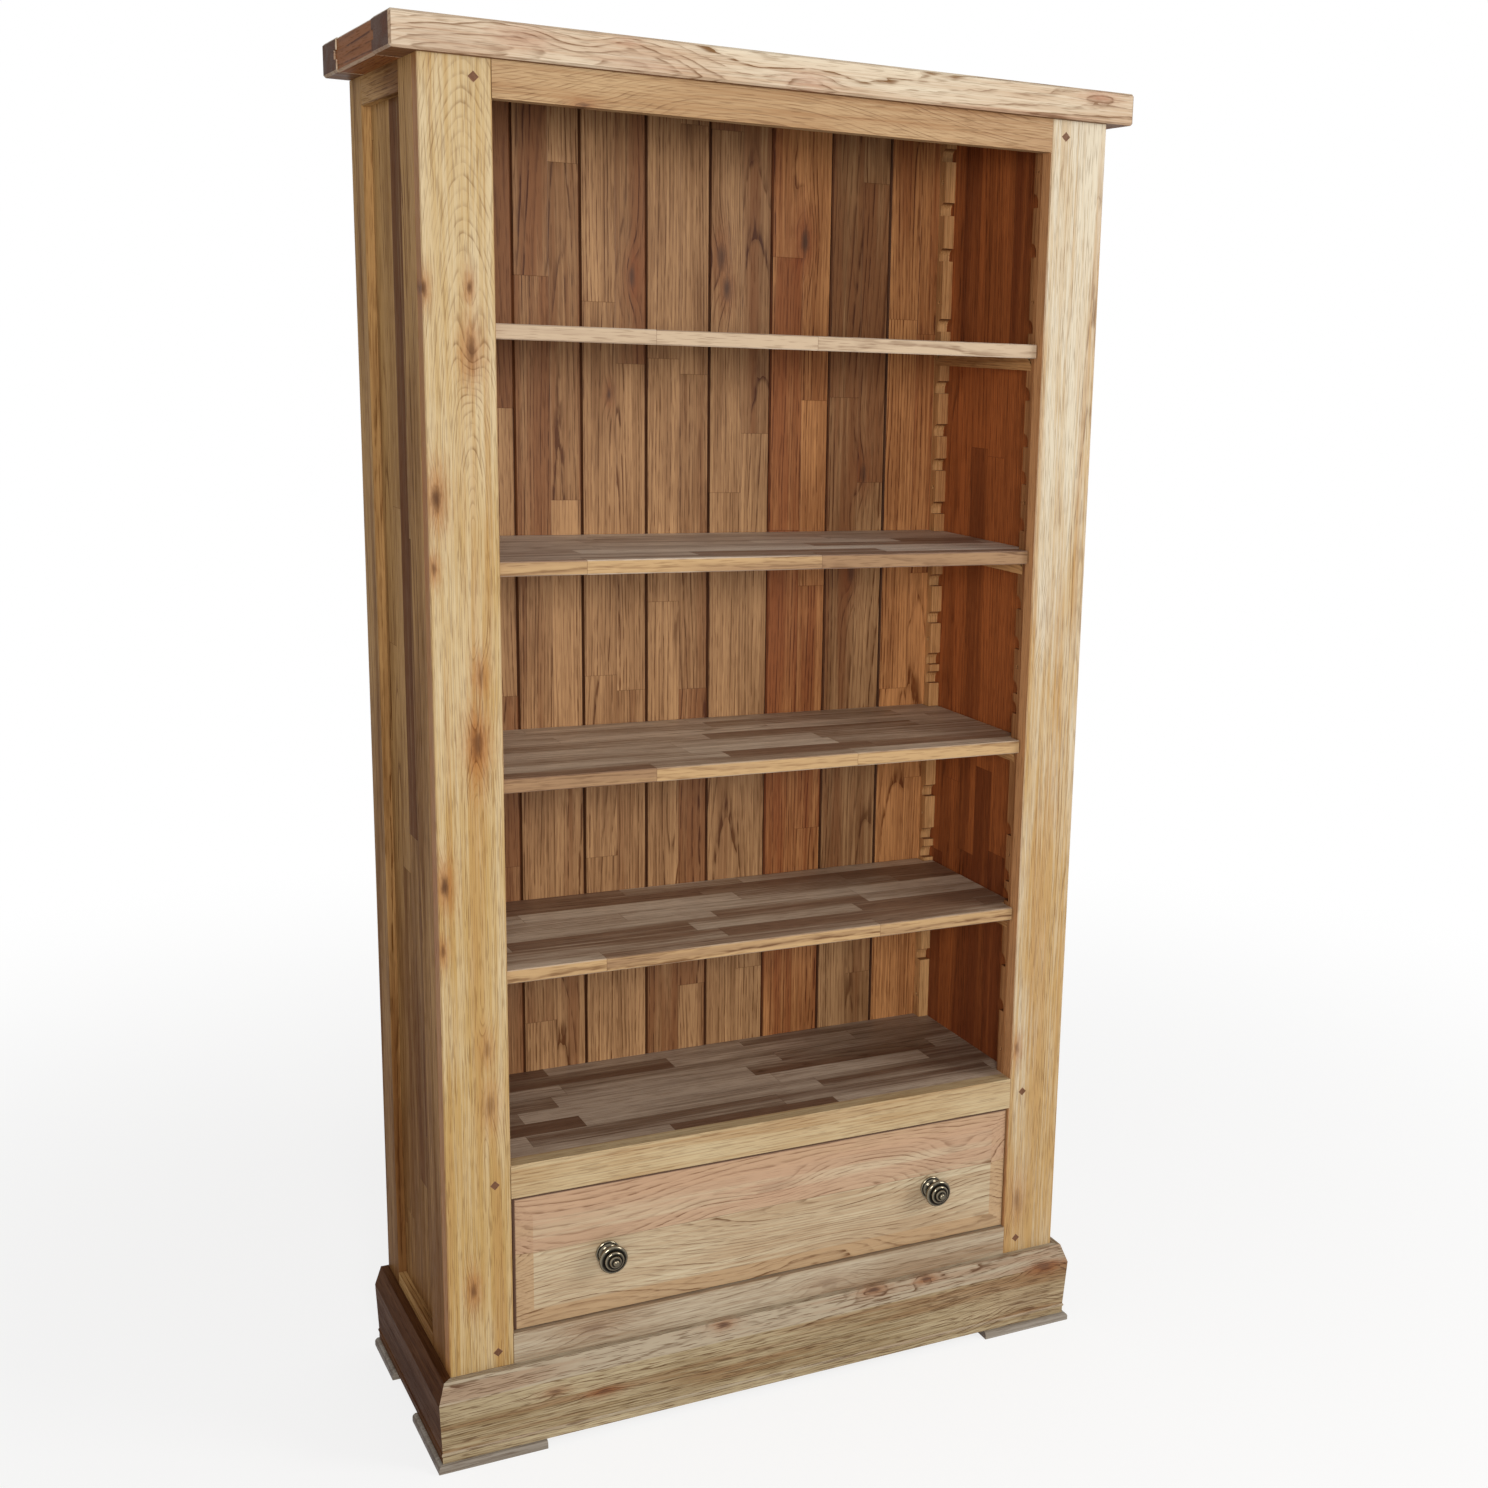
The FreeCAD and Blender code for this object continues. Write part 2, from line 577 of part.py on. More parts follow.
bearers = []
for across in ("inner_wall", "case_width - inner_wall - strip_width"):
    bearer = board("Bearer", "strip_width", "inner_depth", "bearer_height")
    bearers.append(place(bearer, across, "frame_thick", "deck_low - bearer_height"))
group("deck_bearers", bearers)

# Strips: four notched uprights in the corners of the case. Each notch has a flat
# floor, a short straight back and a scooped roof, and opens towards the bay.


strip = board("NotchedStrip", "strip_width", "strip_depth", "strip_length")
for share in NOTCH_SHARES:
    floor = f"{share} * strip_length"
    cut = sketch(strip, "YZ_Plane")
    outline(cut, [("0", floor), ("notch_depth", floor), ("notch_depth", f"{floor} + notch_seat"),
                  ("0", f"{floor} + notch_height", "notch_depth")])
    pocket(strip, cut)
for share in SCREW_SHARES:
    head = sketch(strip, "YZ_Plane")
    facets(head, "strip_depth / 2", f"{share} * strip_length", "screw_head_radius + screw_play")
    pocket(strip, head, "screw_sink + screw_head_height", back=True)
    shank = sketch(strip, "YZ_Plane")
    facets(shank, "strip_depth / 2", f"{share} * strip_length", "screw_shank_radius + screw_play")
    pocket(strip, shank)
other_strip = doc.addObject("Part::Mirroring", "OtherStrip")
other_strip.Source = strip
other_strip.Normal = FreeCAD.Vector(1, 0, 0)

# The rear strips' notches open to the front. Half a turn makes a front strip of the
# other side, and the mirrored strip stands to the left of its own corner.
RIGHT_STRIP = "case_width - inner_wall - strip_width"
for label, source, across, back, turn in (
        ("right_rear_strip", strip, RIGHT_STRIP, "back_face - strip_depth", 0),
        ("left_front_strip", strip, "inner_wall + strip_width", "frame_thick + strip_depth", 180),
        ("left_rear_strip", other_strip, "inner_wall + strip_width", "back_face - strip_depth", 0),
        ("right_front_strip", other_strip, RIGHT_STRIP, "frame_thick + strip_depth", 180)):
    finish(copy_of(source, turn=turn), label, across, back, "deck_top")

screw = new_body("StripScrew")
for start, radius, length in (
        ("0", "screw_head_radius", "screw_head_height"),
        ("screw_head_height", "screw_shank_radius", "screw_length - screw_head_height")):
    section = sketch(screw, "YZ_Plane", start)
    facets(section, "0", "0", radius)
    pad(screw, section, length)
screws = []
for back in ("frame_thick + strip_depth / 2", "back_face - strip_depth / 2"):
    for share in SCREW_SHARES:
        up = f"deck_top + {share} * strip_length"
        screws.append(copy_of(screw, f"{RIGHT_STRIP} + screw_sink", back, up))
        screws.append(copy_of(screw, "inner_wall + strip_width - screw_sink", back, up, turn=180))
group("strip_screws", screws)

# Rests: two for each shelf, dropped into a notch of the front and rear strips.

REST_LONG = "(inner_depth - 2 * strip_depth)"
REST_TIP = "(notch_depth - cleat_play)"
rest = new_body("ShelfRest")
profile = sketch(rest, "YZ_Plane")
outline(profile, [(f"-{REST_TIP}", "0"), (f"{REST_LONG} + {REST_TIP}", "0"),
                  (f"{REST_LONG} + {REST_TIP}", "notch_seat - cleat_play"), (REST_LONG, "cleat_height"),
                  ("0", "cleat_height"), (f"-{REST_TIP}", "notch_seat - cleat_play")])
pad(rest, profile, "strip_width - cleat_play")
rests = []
for notch in SHELF_NOTCHES:
    up = f"deck_top + {NOTCH_SHARES[notch]} * strip_length"
    for across in ("inner_wall + cleat_play", RIGHT_STRIP):
        rests.append(copy_of(rest, across, "frame_thick + strip_depth", up))
group("shelf_rests", rests)

# Shelves: their front edge stands between the stiles, and they are cut back round the strips.

PLACES["shelf_narrow"] = "opening_width - 2 * shelf_play"
PLACES["shelf_ear"] = "stile_width - inner_wall"
PLACES["shelf_depth"] = "back_face - shelf_back_play - shelf_front_setback"
PLACES["shelf_ear_front"] = "frame_thick + strip_depth + shelf_play - shelf_front_setback"
PLACES["shelf_ear_back"] = "back_face - strip_depth - shelf_play - shelf_front_setback"
RIGHT_EAR = "shelf_narrow + shelf_ear"
for number, notch in enumerate(SHELF_NOTCHES, start=1):
    shelf = new_body(f"shelf_{number}")
    plan = sketch(shelf, "XY_Plane")
    outline(plan, [("0", "0"), ("shelf_narrow", "0"), ("shelf_narrow", "shelf_ear_front"),
                   (RIGHT_EAR, "shelf_ear_front"), (RIGHT_EAR, "shelf_ear_back"),
                   ("shelf_narrow", "shelf_ear_back"), ("shelf_narrow", "shelf_depth"),
                   ("0", "shelf_depth"), ("0", "shelf_ear_back"), ("-shelf_ear", "shelf_ear_back"),
                   ("-shelf_ear", "shelf_ear_front"), ("0", "shelf_ear_front")])
    pad(shelf, plan, "shelf_thick")
    ease(shelf, "shelf_ease", lambda middle, way: near(middle.y, "0") and abs(way.x) > abs(way.z))
    finish(shelf, f"shelf_{number}", "stile_width + shelf_play", "shelf_front_setback",
           f"deck_top + {NOTCH_SHARES[notch]} * strip_length + cleat_height")

# Plinth: three boards round the front and sides, mitred at the front corners, with a
# ledge and bevel above and a bead and plain strip below.

BEAD_ROUND_SHARE = 0.55
PLINTH_PROFILE = [
    ("0", "0"),
    ("plinth_thick - plinth_taper", "0"),
    ("plinth_thick - plinth_taper", "plinth_strip"),
    ("plinth_thick - plinth_taper", "plinth_strip + plinth_bead", f"plinth_bead * {BEAD_ROUND_SHARE}"),
    ("plinth_thick", "plinth_height - plinth_bevel"),
    ("plinth_ledge", "plinth_height"),
    ("0", "plinth_height"),
]


def turned_round(points):
    """The same outline drawn towards the other side."""
    flipped = []
    for index, point in enumerate(points):
        following = points[(index + 1) % len(points)]
        flipped.append((f"-({point[0]})", point[1]) + tuple(following[2:]))
    return [flipped[0]] + flipped[:0:-1]


front_plinth = new_body("plinth_front")
profile = sketch(front_plinth, "YZ_Plane")
outline(profile, turned_round(PLINTH_PROFILE))
pad(front_plinth, profile, "case_width + 2 * plinth_thick")
mitres = sketch(front_plinth, "XY_Plane")
outline(mitres, [("0", "-plinth_thick"), ("plinth_thick", "0"), ("0", "0")])
outline(mitres, [("case_width + 2 * plinth_thick", "-plinth_thick"), ("case_width + 2 * plinth_thick", "0"),
                 ("case_width + plinth_thick", "0")])
pocket(front_plinth, mitres)
finish(front_plinth, "plinth_front", "-plinth_thick", "0", "foot_height")

for label, hand, across in (("plinth_left", -1, "0"), ("plinth_right", 1, "case_width")):
    side_plinth = new_body(label)
    profile = sketch(side_plinth, "XZ_Plane", "plinth_thick")
    outline(profile, turned_round(PLINTH_PROFILE) if hand < 0 else PLINTH_PROFILE)
    pad(side_plinth, profile, "case_depth + plinth_thick", back=True)
    mitre = sketch(side_plinth, "XY_Plane")
    outline(mitre, [("0", "-plinth_thick"), (f"{hand} * plinth_thick", "-plinth_thick"), ("0", "0")])
    pocket(side_plinth, mitre)
    finish(side_plinth, label, across, "0", "foot_height")

# Feet: flat moulded plates under the corners, L-shaped at the front, each with a
# round along its outer top edge.


def foot(points, rounded):
    plate = new_body("Foot")
    plan = sketch(plate, "XY_Plane")
    outline(plan, points)
    pad(plate, plan, "foot_height")
    tip = plate.Tip
    names = [f"Edge{number}" for number, edge in enumerate(tip.Shape.Edges, start=1)
             if all(near(vertex.Z, "foot_height") for vertex in edge.Vertexes)
             and rounded((edge.Vertexes[0].Point + edge.Vertexes[1].Point) / 2)]
    fillet = plate.newObject("PartDesign::Fillet", "Round")
    fillet.Base = (tip, names)
    bind(fillet, Radius="foot_round")
    doc.recompute()
    return plate


def mirrored_points(points):
    return [(f"-({across})", back) for across, back in reversed(points)]


FRONT_FOOT = [("0", "0"), ("foot_length", "0"), ("foot_length", "foot_width"), ("foot_width", "foot_width"),
              ("foot_width", "foot_length"), ("0", "foot_length")]
REAR_FOOT = corners("0", "0", "foot_width", "rear_foot_length")


def outer_edges(middle):
    return near(middle.x, "0") or near(middle.y, "0")


def outer_side(middle):
    return near(middle.x, "0")


group("front_feet", [place(foot(FRONT_FOOT, outer_edges), "-foot_reach", "-foot_reach"),
                     place(foot(mirrored_points(FRONT_FOOT), outer_edges), "case_width + foot_reach",
                           "-foot_reach")])
group("rear_feet", [place(foot(REAR_FOOT, outer_side), "-foot_reach", "case_depth - rear_foot_length"),
                    place(foot(mirrored_points(REAR_FOOT), outer_side), "case_width + foot_reach",
                          "case_depth - rear_foot_length")])

# Drawer: a bevelled front that the sides are dovetailed into, a back between the sides
# and a thin bottom in grooves, sliding on L-shaped runners.

GUIDE_TOP = "runner_height + guide_height"
runners = []
for mirrored in (False, True):
    runner = new_body("Runner")
    profile = sketch(runner, "XZ_Plane")
    shape = [("0", "0"), ("runner_width", "0"), ("runner_width", "runner_height"),
             ("stile_width - inner_wall", "runner_height"), ("stile_width - inner_wall", GUIDE_TOP),
             ("0", GUIDE_TOP)]
    outline(profile, mirrored_points(shape) if mirrored else shape)
    pad(runner, profile, "inner_depth", back=True)
    runners.append(place(runner, "case_width - inner_wall" if mirrored else "inner_wall", "frame_thick",
                         "drawer_floor - runner_height"))
group("drawer_runners", runners)

PLACES["drawer_left"] = "stile_width + drawer_gap"
PLACES["front_foot"] = "drawer_floor + drawer_gap"
PLACES["side_rise"] = "side_foot - front_foot"
PLACES["bottom_up"] = "side_foot + drawer_groove_height"


def tails(drawing, tip, foot_up):
    """The outlines of a side's tails, which are widest at their tips."""
    for low, high in TAIL_SHARES:
        bottom = f"{foot_up} + {low} * drawer_side_height"
        top = f"{foot_up} + {high} * drawer_side_height"
        outline(drawing, [(tip, bottom), (f"{tip} + drawer_lap", f"{bottom} + tail_slant"),
                          (f"{tip} + drawer_lap", f"{top} - tail_slant"), (tip, top)])


front = new_body("drawer_front")
edge_face = sketch(front, "XZ_Plane", "-drawer_bevel_depth")
outline(edge_face, corners("0", "0", "drawer_width", "drawer_height"))
pad(front, edge_face, "drawer_front_thick - drawer_bevel_depth", back=True)
loft_base = sketch(front, "XZ_Plane", "-drawer_bevel_depth")
outline(loft_base, corners("0", "0", "drawer_width", "drawer_height"))
field = sketch(front, "XZ_Plane")
outline(field, corners("drawer_bevel_width", "drawer_bevel_width", "drawer_width - 2 * drawer_bevel_width",
                       "drawer_height - 2 * drawer_bevel_width"))
raised = front.newObject("PartDesign::AdditiveLoft", "Raised")
raised.Profile = loft_base
raised.Sections = [field]
raised.Ruled = True
doc.recompute()
for start, inwards in (("0", True), ("drawer_width", False)):
    sockets = sketch(front, "YZ_Plane", start)
    tails(sockets, "drawer_front_thick - drawer_lap", "side_rise")
    pocket(front, sockets, "drawer_side_thick", back=inwards)
block(front, "Groove", "Subtractive", "drawer_side_thick - drawer_groove_depth",
      "drawer_front_thick - drawer_groove_depth", "bottom_up - front_foot",
      "drawer_width - 2 * drawer_side_thick + 2 * drawer_groove_depth",
      "drawer_groove_depth", "drawer_bottom_thick")
bores = sketch(front, "XZ_Plane")
for hand in (-1, 1):
    facets(bores, f"drawer_width / 2 + {hand} * knob_spacing / 2", "knob_height - drawer_gap",
           "knob_screw_radius + screw_play")
pocket(front, bores)
finish(front, "drawer_front", "drawer_left", "drawer_front_setback", "front_foot")

for label, across, groove_x in (
        ("drawer_left_side", "drawer_left", "drawer_side_thick - drawer_groove_depth"),
        ("drawer_right_side", "drawer_left + drawer_width - drawer_side_thick", "0")):
    wall = new_body(label)
    block(wall, "Board", "Additive", "0", "drawer_lap", "0",
          "drawer_side_thick", "drawer_side_length", "drawer_side_height")
    end = sketch(wall, "YZ_Plane")
    tails(end, "0", "0")
    pad(wall, end, "drawer_side_thick")
    block(wall, "Groove", "Subtractive", groove_x, "0", "drawer_groove_height",
          "drawer_groove_depth", "drawer_side_length + drawer_lap", "drawer_bottom_thick")
    finish(wall, label, across, "front_back - drawer_lap", "side_foot")

BACK_LOW = "bottom_up + drawer_bottom_thick"
back_wall = board("drawer_back", "drawer_width - 2 * drawer_side_thick", "drawer_side_thick",
                  "drawer_side_height - drawer_groove_height - drawer_bottom_thick")
finish(back_wall, "drawer_back", "drawer_left + drawer_side_thick",
       "front_back + drawer_side_length - drawer_back_inset - drawer_side_thick", BACK_LOW)
bottom = board("drawer_bottom", "drawer_width - 2 * drawer_side_thick + 2 * drawer_groove_depth",
               "drawer_side_length + drawer_groove_depth - drawer_back_inset", "drawer_bottom_thick")
finish(bottom, "drawer_bottom", "drawer_left + drawer_side_thick - drawer_groove_depth",
       "front_back - drawer_groove_depth", "bottom_up")

# Knobs: turned brass with a rose, a neck, a ringed bulb and a small nipple, each on one
# machine screw from inside the drawer. The outline runs along the axis and out from it.

KNOB_SHARES = [
    (0.00, 0.85), (0.07, 0.85), (0.22, 0.44), (0.40, 0.39), (0.51, 0.80), (0.60, 1.00),
    (0.69, 0.92), (0.72, 0.69), (0.81, 0.63), (0.84, 0.43), (0.95, 0.24), (1.00, 0.12),
]
knobs = []
knob_screws = []
for hand in (-1, 1):
    across = f"drawer_left + drawer_width / 2 + {hand} * knob_spacing / 2"
    up = "drawer_floor + knob_height"
    knob = new_body("Knob")
    profile = sketch(knob, "YZ_Plane")
    bore = "(knob_screw_radius + screw_play)"
    points = [(f"-{reach} * knob_reach", f"{wide} * knob_radius") for reach, wide in KNOB_SHARES]
    outline(profile, points + [("-knob_reach", "0"), ("-knob_screw_grip - screw_play", "0"),
                               ("-knob_screw_grip - screw_play", bore), ("0", bore)])
    turned = knob.newObject("PartDesign::Revolution", "Turned")
    turned.Profile = profile
    turned.ReferenceAxis = (profile, ["H_Axis"])
    knobs.append(place(knob, across, "drawer_front_setback", up))
    screw = new_body("KnobScrew")
    for start, radius, length in (
            ("knob_screw_grip", "knob_screw_radius", "knob_screw_grip + drawer_front_thick"),
            ("-drawer_front_thick", "knob_screw_head_radius", "knob_screw_head_height")):
        section = sketch(screw, "XZ_Plane", start)
        facets(section, "0", "0", radius)
        pad(screw, section, length, back=True)
    knob_screws.append(place(screw, across, "drawer_front_setback", up))
group("drawer_knobs", knobs)
group("knob_screws", knob_screws)

# Every object must be sound before anything is written.

doc.recompute()
for thing in doc.Objects:
    if {"Invalid", "Error"} & set(thing.State):
        raise RuntimeError(f"{thing.Name} ({thing.Label}) failed: {thing.State}")
os.makedirs("parts", exist_ok=True)
for piece in pieces:
    if piece.Shape.isNull() or not piece.Shape.isValid():
        raise RuntimeError(f"{piece.Label} is not a sound shape")
    piece.Shape.exportStep(f"parts/{piece.Label}.step")
    box = piece.Shape.BoundBox
    print(f"{piece.Label}: {box.XLength:.1f} x {box.YLength:.1f} x {box.ZLength:.1f} mm, "
          f"{len(piece.Shape.Solids)} solid(s)")
print(len(pieces), "sub-parts")
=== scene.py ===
# %% [markdown]
# This lesson dresses a tall oak bookcase. The joinery is finished already: every board, rail, strip and
# shelf arrives as its own piece at its real size. What is left is what a photograph shows of it, which is
# mostly wood: the figure of the oak, the staves that the wide boards are glued up from, the knots, and two
# turned brass knobs. The pieces never move here. Each one only gets a finish, or a better piece in its place.

# %% Load the pieces of the bookcase
import math

import bpy
from mathutils import Matrix, Vector


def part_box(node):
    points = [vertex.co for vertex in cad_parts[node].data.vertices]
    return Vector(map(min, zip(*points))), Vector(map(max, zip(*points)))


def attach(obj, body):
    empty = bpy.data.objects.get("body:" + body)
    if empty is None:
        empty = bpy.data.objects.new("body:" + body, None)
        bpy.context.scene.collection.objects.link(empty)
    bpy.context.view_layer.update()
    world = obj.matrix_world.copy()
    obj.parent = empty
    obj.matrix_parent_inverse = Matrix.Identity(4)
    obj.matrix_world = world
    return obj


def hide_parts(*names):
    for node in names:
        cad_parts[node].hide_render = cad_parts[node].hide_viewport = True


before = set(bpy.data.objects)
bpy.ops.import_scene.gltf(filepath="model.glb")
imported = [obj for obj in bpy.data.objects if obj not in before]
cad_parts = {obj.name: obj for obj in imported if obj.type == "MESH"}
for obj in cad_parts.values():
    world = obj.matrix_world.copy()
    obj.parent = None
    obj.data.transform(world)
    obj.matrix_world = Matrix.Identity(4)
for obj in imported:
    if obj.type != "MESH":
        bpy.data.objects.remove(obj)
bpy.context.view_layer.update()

# %% [markdown]
# The photograph was taken from the left, at about eye level, and was then cropped off centre. A camera that
# stands where the real one stood, with a small lens shift in place of the crop, keeps the upright edges
# leaning as they do in the picture. Turning the camera instead would lean them another way, so the shift is
# the honest choice.

# %% Stand the camera where the real one stood
CAMERA_PLACE = (-1.1072, -2.6625, 1.5879)
CAMERA_TURN_DEGREES = (77.059, -2.157, -29.293)
LENS_MM = 46.468
SENSOR_MM = 36
LENS_SHIFT = (-0.1550, 0.0300)


def stand_camera():
    """The camera at the photograph's viewing angle, with everything in focus."""
    bpy.ops.object.select_all(action="DESELECT")
    turn = [math.radians(angle) for angle in CAMERA_TURN_DEGREES]
    bpy.ops.object.camera_add(location=CAMERA_PLACE, rotation=turn)
    camera = bpy.context.object
    camera.data.sensor_width = SENSOR_MM
    camera.data.lens = LENS_MM
    camera.data.shift_x, camera.data.shift_y = LENS_SHIFT
    camera.data.dof.use_dof = False
    bpy.context.scene.camera = camera
    return camera


camera = stand_camera()
print("camera", [round(part, 2) for part in camera.location], "lens", LENS_MM)

# %% [markdown]
# Materials are made of nodes, and a node tree is easier to read when its wiring is written as sums. These
# few helpers each add one node and hand back its output, so that a group further down reads like the
# formula that it stands for.

# %% Small helpers that add one node each
def feed(tree, socket, value):
    """Joins a socket to another, or sets it to a plain value."""
    if isinstance(value, bpy.types.NodeSocket):
        tree.links.new(value, socket)
    else:
        socket.default_value = value


def calc(tree, operation, *values, clamp=False):
    """One Math node."""
    node = tree.nodes.new("ShaderNodeMath")
    node.operation = operation
    node.use_clamp = clamp
    for socket, value in zip(node.inputs, values):
        feed(tree, socket, value)
    return node.outputs[0]


def vector_calc(tree, operation, *values):
    """One Vector Math node."""
    node = tree.nodes.new("ShaderNodeVectorMath")
    node.operation = operation
    for socket, value in zip(node.inputs, values):
        feed(tree, socket, value)
    return node.outputs["Value" if operation in ("LENGTH", "DOT_PRODUCT") else "Vector"]


def rise(tree, value, low, high):
    """0 below low, 1 above high, and smooth in between. With low above high it falls instead."""
    node = tree.nodes.new("ShaderNodeMapRange")
    node.interpolation_type = "SMOOTHSTEP"
    feed(tree, node.inputs["Value"], value)
    node.inputs["From Min"].default_value = low
    node.inputs["From Max"].default_value = high
    return node.outputs[0]


def split(tree, vector):
    """The three parts of a vector or a colour."""
    node = tree.nodes.new("ShaderNodeSeparateXYZ")
    feed(tree, node.inputs[0], vector)
    return node.outputs[0], node.outputs[1], node.outputs[2]


def join(tree, *values):
    """A vector from three numbers."""
    node = tree.nodes.new("ShaderNodeCombineXYZ")
    for socket, value in zip(node.inputs, values):
        feed(tree, socket, value)
    return node.outputs[0]


def cloud(tree, vector, stretch, detail=1.0, roughness=0.5):
    """A soft noise. stretch gives how many bumps a metre holds along, across and through the board."""
    node = tree.nodes.new("ShaderNodeTexNoise")
    feed(tree, node.inputs["Vector"], vector_calc(tree, "MULTIPLY", vector, stretch))
    node.inputs["Scale"].default_value = 1
    node.inputs["Detail"].default_value = detail
    node.inputs["Roughness"].default_value = roughness
    return node


def mask(tree, vector, stretch, detail, roughness, edges):
    """A soft noise cut to a mask: 0 below its first edge and 1 above its second."""
    return rise(tree, cloud(tree, vector, stretch, detail, roughness).outputs[0], *edges)


def chance(tree, vector):
    """One random number and one random colour for each whole place."""
    node = tree.nodes.new("ShaderNodeTexWhiteNoise")
    node.noise_dimensions = "3D"
    feed(tree, node.inputs["Vector"], vector)
    return node.outputs["Value"], node.outputs["Color"]


def blend(tree, share, first, second, how="MIX"):
    """One Mix node for colours."""
    node = tree.nodes.new("ShaderNodeMix")
    node.data_type = "RGBA"
    node.blend_type = how
    feed(tree, node.inputs[0], share)
    feed(tree, node.inputs[6], first)
    feed(tree, node.inputs[7], second)
    return node.outputs[2]


def new_group(name, inputs, outputs):
    """An empty shader node group with named sockets."""
    tree = bpy.data.node_groups.new(name, "ShaderNodeTree")
    for label, carries, value in inputs:
        socket = tree.interface.new_socket(label, in_out="INPUT", socket_type="NodeSocket" + carries)
        if value is not None:
            socket.default_value = value
    for label, carries in outputs:
        tree.interface.new_socket(label, in_out="OUTPUT", socket_type="NodeSocket" + carries)
    return tree, tree.nodes.new("NodeGroupInput").outputs, tree.nodes.new("NodeGroupOutput").inputs


print("helpers ready")

# %% [markdown]
# A wide oak board is seldom one plank. It is glued up from staves, strips a few centimetres wide that end
# in butt joints at odd places, and each stave keeps its own tone. The group below cuts the board's length
# and width into such staves: rows across, random cuts along, and for each stave a random tone, a random
# tint and a jump in the pattern, so that the figure stops at every joint. Image textures could do this
# too, but a rule that works on the board's own coordinates never stretches or repeats.

# %% Node group: the staves a board is glued up from
HALF = 0.5
MIDDLE = (HALF, HALF, HALF)
JOINT_WIDTH = 0.0007
# How far a stave's end may be shifted, as a share of its length, and a whole row, in staves.
CUT_SHIFT_SHARE = 0.5
ROW_SHIFT = 7.0
# How far the pattern may jump at a joint along, across and through the board, in metres.
PATTERN_JUMP = (3.0, 0.12, 0.10)
# Numbers that keep the draws for rows, staves and years apart.
ROW_DRAW, STAVE_DRAW, YEAR_DRAW = 3.0, 11.0, 5.0


def make_stave_group():
    """Rows of staves with random ends. X runs along the grain and Y across it."""
    tree, given, result = new_group(
        "glued staves",
        [("Vector", "Vector", None), ("Width", "Float", 0.05), ("Length", "Float", 0.5),
         ("Start", "Float", 0), ("Seed", "Float", 0)],
        [("Vector", "Vector"), ("Tone", "Float"), ("Tint", "Float"), ("Joint", "Float")])
    along, across, _ = split(tree, given["Vector"])
    rows = calc(tree, "DIVIDE", calc(tree, "SUBTRACT", across, given["Start"]), given["Width"])
    row = calc(tree, "FLOOR", rows)
    row_luck, _ = chance(tree, join(tree, row, given["Seed"], ROW_DRAW))
    run = calc(tree, "MULTIPLY_ADD", row_luck, ROW_SHIFT, calc(tree, "DIVIDE", along, given["Length"]))
    cut = calc(tree, "FLOOR", run)
    part = calc(tree, "FRACT", run)
    cut_luck, _ = chance(tree, join(tree, cut, row, given["Seed"]))
    edge = calc(tree, "MULTIPLY", cut_luck, CUT_SHIFT_SHARE)
    before = calc(tree, "LESS_THAN", part, edge)
    drawn = calc(tree, "ADD", given["Seed"], STAVE_DRAW)
    tone, colour = chance(tree, join(tree, calc(tree, "SUBTRACT", cut, before), row, drawn))
    jump = vector_calc(tree, "MULTIPLY", vector_calc(tree, "SUBTRACT", colour, MIDDLE), PATTERN_JUMP)
    from_middle = calc(tree, "ABSOLUTE", calc(tree, "SUBTRACT", calc(tree, "FRACT", rows), HALF))
    side_gap = calc(tree, "MULTIPLY", calc(tree, "SUBTRACT", HALF, from_middle), given["Width"])
    from_end = calc(tree, "ABSOLUTE", calc(tree, "SUBTRACT", part, edge))
    end_gap = calc(tree, "MULTIPLY", from_end, given["Length"])
    nearest = calc(tree, "DIVIDE", calc(tree, "MINIMUM", side_gap, end_gap), JOINT_WIDTH)
    feed(tree, result["Vector"], vector_calc(tree, "ADD", given["Vector"], jump))
    feed(tree, result["Tone"], tone)
    feed(tree, result["Tint"], split(tree, colour)[0])
    feed(tree, result["Joint"], calc(tree, "SUBTRACT", 1.0, nearest, clamp=True))
    return tree


STAVES = make_stave_group()
print("group", STAVES.name)

# %% [markdown]
# A knot is the stump of a branch. The growth rings of the trunk run round it, the wood about it is redder,
# and its heart is nearly black. So one knot changes three things: it lifts the ring pattern, it spreads a
# halo, and it adds a dark core. The group takes what earlier knots did and adds its own share, which lets
# a board carry as many knots as it really has. With no depth of colour a knot only bends the rings, as
# the hidden foot of a branch does.

# %% Node group: one knot
KNOT_STRETCH = (0.34, 1.0, 0.15)
# The ragged edge: how many bumps a metre holds, and how far they move the edge.
KNOT_EDGE_BUMPS = (90, 260, 90)
KNOT_ROUGH_EDGE = 1.1
# How fast the lift and the halo fade with the distance in knot sizes, and where the core fades.
LIFT_FADE, HALO_FADE = -0.25, -0.35
CORE_EDGES = (0.15, 1.0)
# The lift as a share of the knot's size, and how soon a deeper colour fills the halo.
LIFT_SHARE = 1.3
HALO_GAIN = 1.6


def bell(tree, distance, fade):
    """1 at the middle and softly down to 0 with the distance."""
    return calc(tree, "EXPONENT", calc(tree, "MULTIPLY", calc(tree, "MULTIPLY", distance, distance), fade))


